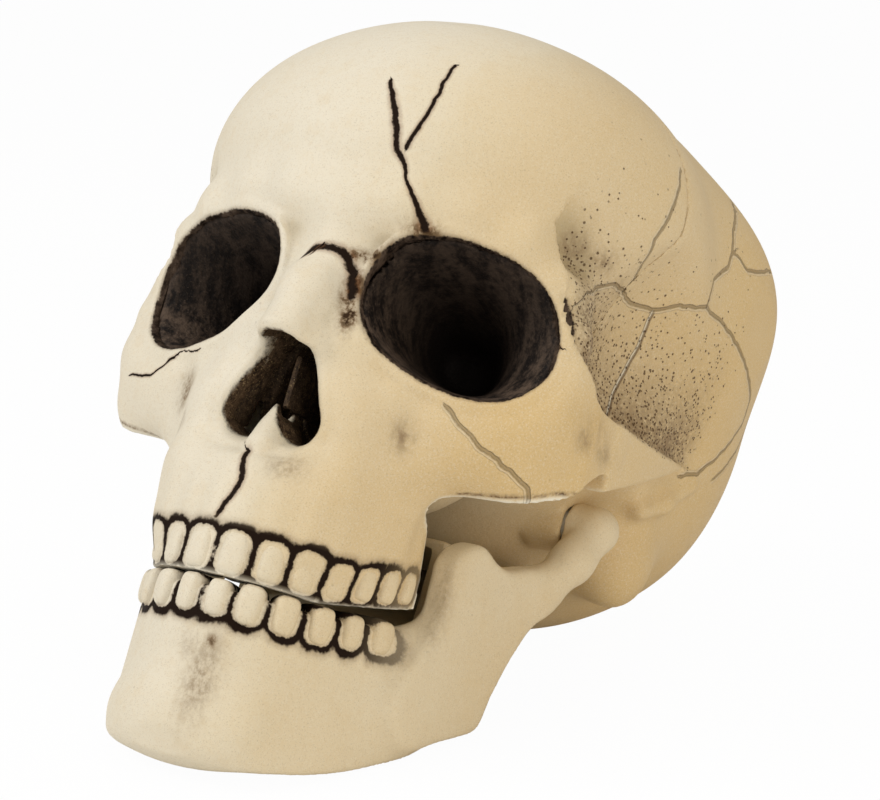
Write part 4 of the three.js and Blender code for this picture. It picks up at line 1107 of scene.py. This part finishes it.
v, q, n, hollow = with_teeth(face_field, (0, -108, -53), (66, 7, 108), head_field, UPPER, 4)
marks = common_marks(v, q, head_field, False)
trace_all(marks, v, q, head_field, CRACKS, 0.2)
tooth_marks(marks, v, n, hollow, UPPER, 0.55, -60.5)
marks["stain"] *= 1 - 0.8 * (marks["gumpaint"] > 0.5)
socket_at, under = at_points(orbit_shape, v), at_points(head_field, v) < -0.9
marks["soot"] = np.where(v[:, 2] > 60, 9, np.where(under, socket_at - 3.0, socket_at - 0.45))
nose_at = at_points(nose_shape, v)
marks["brown"] = np.where(under, nose_at - 4.5, nose_at - 0.25 + 0.5 * ramp(v[:, 2], -4, 3))
marks["brown"][v[:, 1] > -70] = 9
x, y, z = v.T
rim = outline_field(y, z, TRIM_LINE)
cheek_edge = np.clip(1.4 - np.abs(rim - 0.1), 0, 1) * (y < PARTING)
row_edge = np.clip(1.2 - (z - UPPER_LOW - rise_of(y, UPPER_RISE)), 0, 1) * ((z < -40) & (y < -57))
marks["lip"] = np.maximum(cheek_edge, row_edge)
under_edge = 0.9 * np.clip(1.2 - 1.8 * np.abs(rim - 1.75), 0, 1) * ((np.abs(x) > 40) & (y > -76) & (y < -50))
marks["stain"] = np.maximum(marks["stain"], under_edge)
build("face", v, q, marks, "cranium", ["face_shell"], bone)

points, quads, near, far = skin(rear_shell, (0, -88, -57), (66, 88, 113), GRID * 1.35, solid=rear_solid)
marks = common_marks(points, quads, rear_solid, False)
# less painted shade in the hollows towards the front
marks["hollow"] = hollow_shade_of(near, far) * (0.4 + 0.6 * ramp(points[:, 1], -62, -42))
build("rear", points, quads, marks, "cranium", ["rear_shell"], bone)

v, q, n, hollow = with_teeth(jaw_shell, (0, -105, -95), (55, -8, 3), None, LOWER, 5)
marks = common_marks(v, q, jaw_field, True)
marks["wash"] -= 0.15 + 0.25 * ramp(v[:, 0], 20, 36)
tooth_marks(marks, v, n, hollow, LOWER, 0.5, -61)
marks["stain"] *= 1 - 0.9 * ramp(v[:, 2], -63, -60) * (v[:, 1] < -70)
build("jaw", v, q, marks, "jaw", ["jaw_shell", "jaw_lining"], bone)

points, quads, near, far = skin(cup_shell, (2, -100, -8), (62, -40, 46), GRID, mirror=False)
depth = np.clip((points[:, 1] - rim_sheet(points[:, 0])) / -PARTING, 0, 1)
# lit: where the brushed grey-brown and the painted sheen show, most on the lower walls near the mouth
lit = (1 - ramp(depth, 0.1, 0.9)) * (0.4 + 0.6 * (1 - ramp(points[:, 2], 8, 28)))
for side, name in ((1, "left"), (-1, "right")):
    v = points * (side, 1, 1)
    build(f"socket_{name}", v, quads if side > 0 else quads[:, ::-1], blank(len(v), lit=lit), "cranium",
          [f"orbit_cup_{name}"], socket_material)

points, quads, near, far = skin(nose_shell, (0, -104, -24), (18, -68, 12), 0.55)
build("nose", points, quads, blank(len(points)), "cranium", ["nose_insert"], nose_material)

bush_material = plain_paint("bush_paint", (0.72, 0.70, 0.62), (0.82, 0.80, 0.74), 0.4)
steel_material = plain_paint("pin_steel_turned", (0.45, 0.45, 0.47), (0.65, 0.65, 0.67), 0.25, 1.0, 300, (20, 1, 1))
for name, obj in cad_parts.items():
    if name.startswith("hinge_"):
        obj.data.materials.clear()
        obj.data.materials.append(steel_material if "pin" in name else bush_material)

# Studio
def white_to_camera(tree, lit, kind, share, output):
    """Shows the camera white in this share, while the light that falls on the model stays as it is."""
    white = new_node(tree, kind, {"Color": (1, 1, 1, 1), "Strength": 1.0}).outputs[0]
    seen = new_node(tree, "LightPath").outputs["Is Camera Ray"]
    part = new_node(tree, "Math", {0: seen, 1: share}, operation="MULTIPLY").outputs[0]
    mixed = new_node(tree, "MixShader", {0: part, 1: lit, 2: white}).outputs[0]
    put(tree, output.inputs["Surface"], mixed)


FLOOR_HALF, FLOOR_LEVEL = 6.0, -0.0006
floor_mesh = bpy.data.meshes.new("floor")
corners = [(FLOOR_HALF * a, FLOOR_HALF * b, FLOOR_LEVEL) for a, b in ((-1, -1), (1, -1), (1, 1), (-1, 1))]
floor_mesh.from_pydata(corners, [], [(0, 1, 2, 3)])
floor = in_scene("floor", floor_mesh)
paper = Paint("paper")
paper.set("Base Color", paper.mix(paper.noise(300, 2, 0.5), (0.90, 0.90, 0.90), (0.93, 0.93, 0.93)))
paper.set("Roughness", 0.9)
white_to_camera(paper.tree, paper.shader.outputs["BSDF"], "Emission", 0.97, paper.out)
floor_mesh.materials.append(paper.material)

world = bpy.data.worlds.new("studio")
world.use_nodes = True
sky = world.node_tree
sky.nodes.clear()
soft = new_node(sky, "Background", {"Color": (1.0, 0.98, 0.93, 1), "Strength": 0.42}).outputs[0]
white_to_camera(sky, soft, "Background", 1.0, new_node(sky, "OutputWorld"))
bpy.context.scene.world = world


def area(name, at, size, power, color=(1, 1, 1)):
    light = bpy.data.lights.new(name, "AREA")
    light.shape = "DISK"
    light.size = size
    light.energy = power
    light.color = color
    obj = in_scene(name, light)
    obj.location = at
    aim = Vector((0, 0, 0.08)) - Vector(at)
    obj.rotation_euler = aim.to_track_quat("-Z", "Y").to_euler()


area("key", (-0.75, -0.75, 0.85), 0.6, 7.0, (1.0, 0.985, 0.955))
area("fill", (0.95, -0.5, 0.35), 0.9, 4.0, (1.0, 0.93, 0.80))
area("top", (0.1, 0.1, 1.2), 0.9, 3.0)

camera_data = bpy.data.cameras.new("camera")
camera_data.sensor_width = 36
camera_data.lens = 2477.6 / 880 * 36
camera_data.clip_start = 0.05
camera = in_scene("camera", camera_data)
# the camera in the upright frame: its place, the way it looks and its right
sight = np.array([[288.1, -554.03, -112.6], [-0.46489, 0.86107, 0.20600], [0.87278, 0.40660, 0.27006]])
place = Vector(to_rest(sight[:1])[0] * MM)
forward, right = (Vector(w).normalized() for w in tipped(sight[1:]))
up = right.cross(forward)
camera.matrix_world = Matrix([(*right, 0), (*up, 0), (*-forward, 0), (*place, 1)]).transposed()
bpy.context.scene.camera = camera
bpy.context.scene.view_settings.view_transform = "Standard"
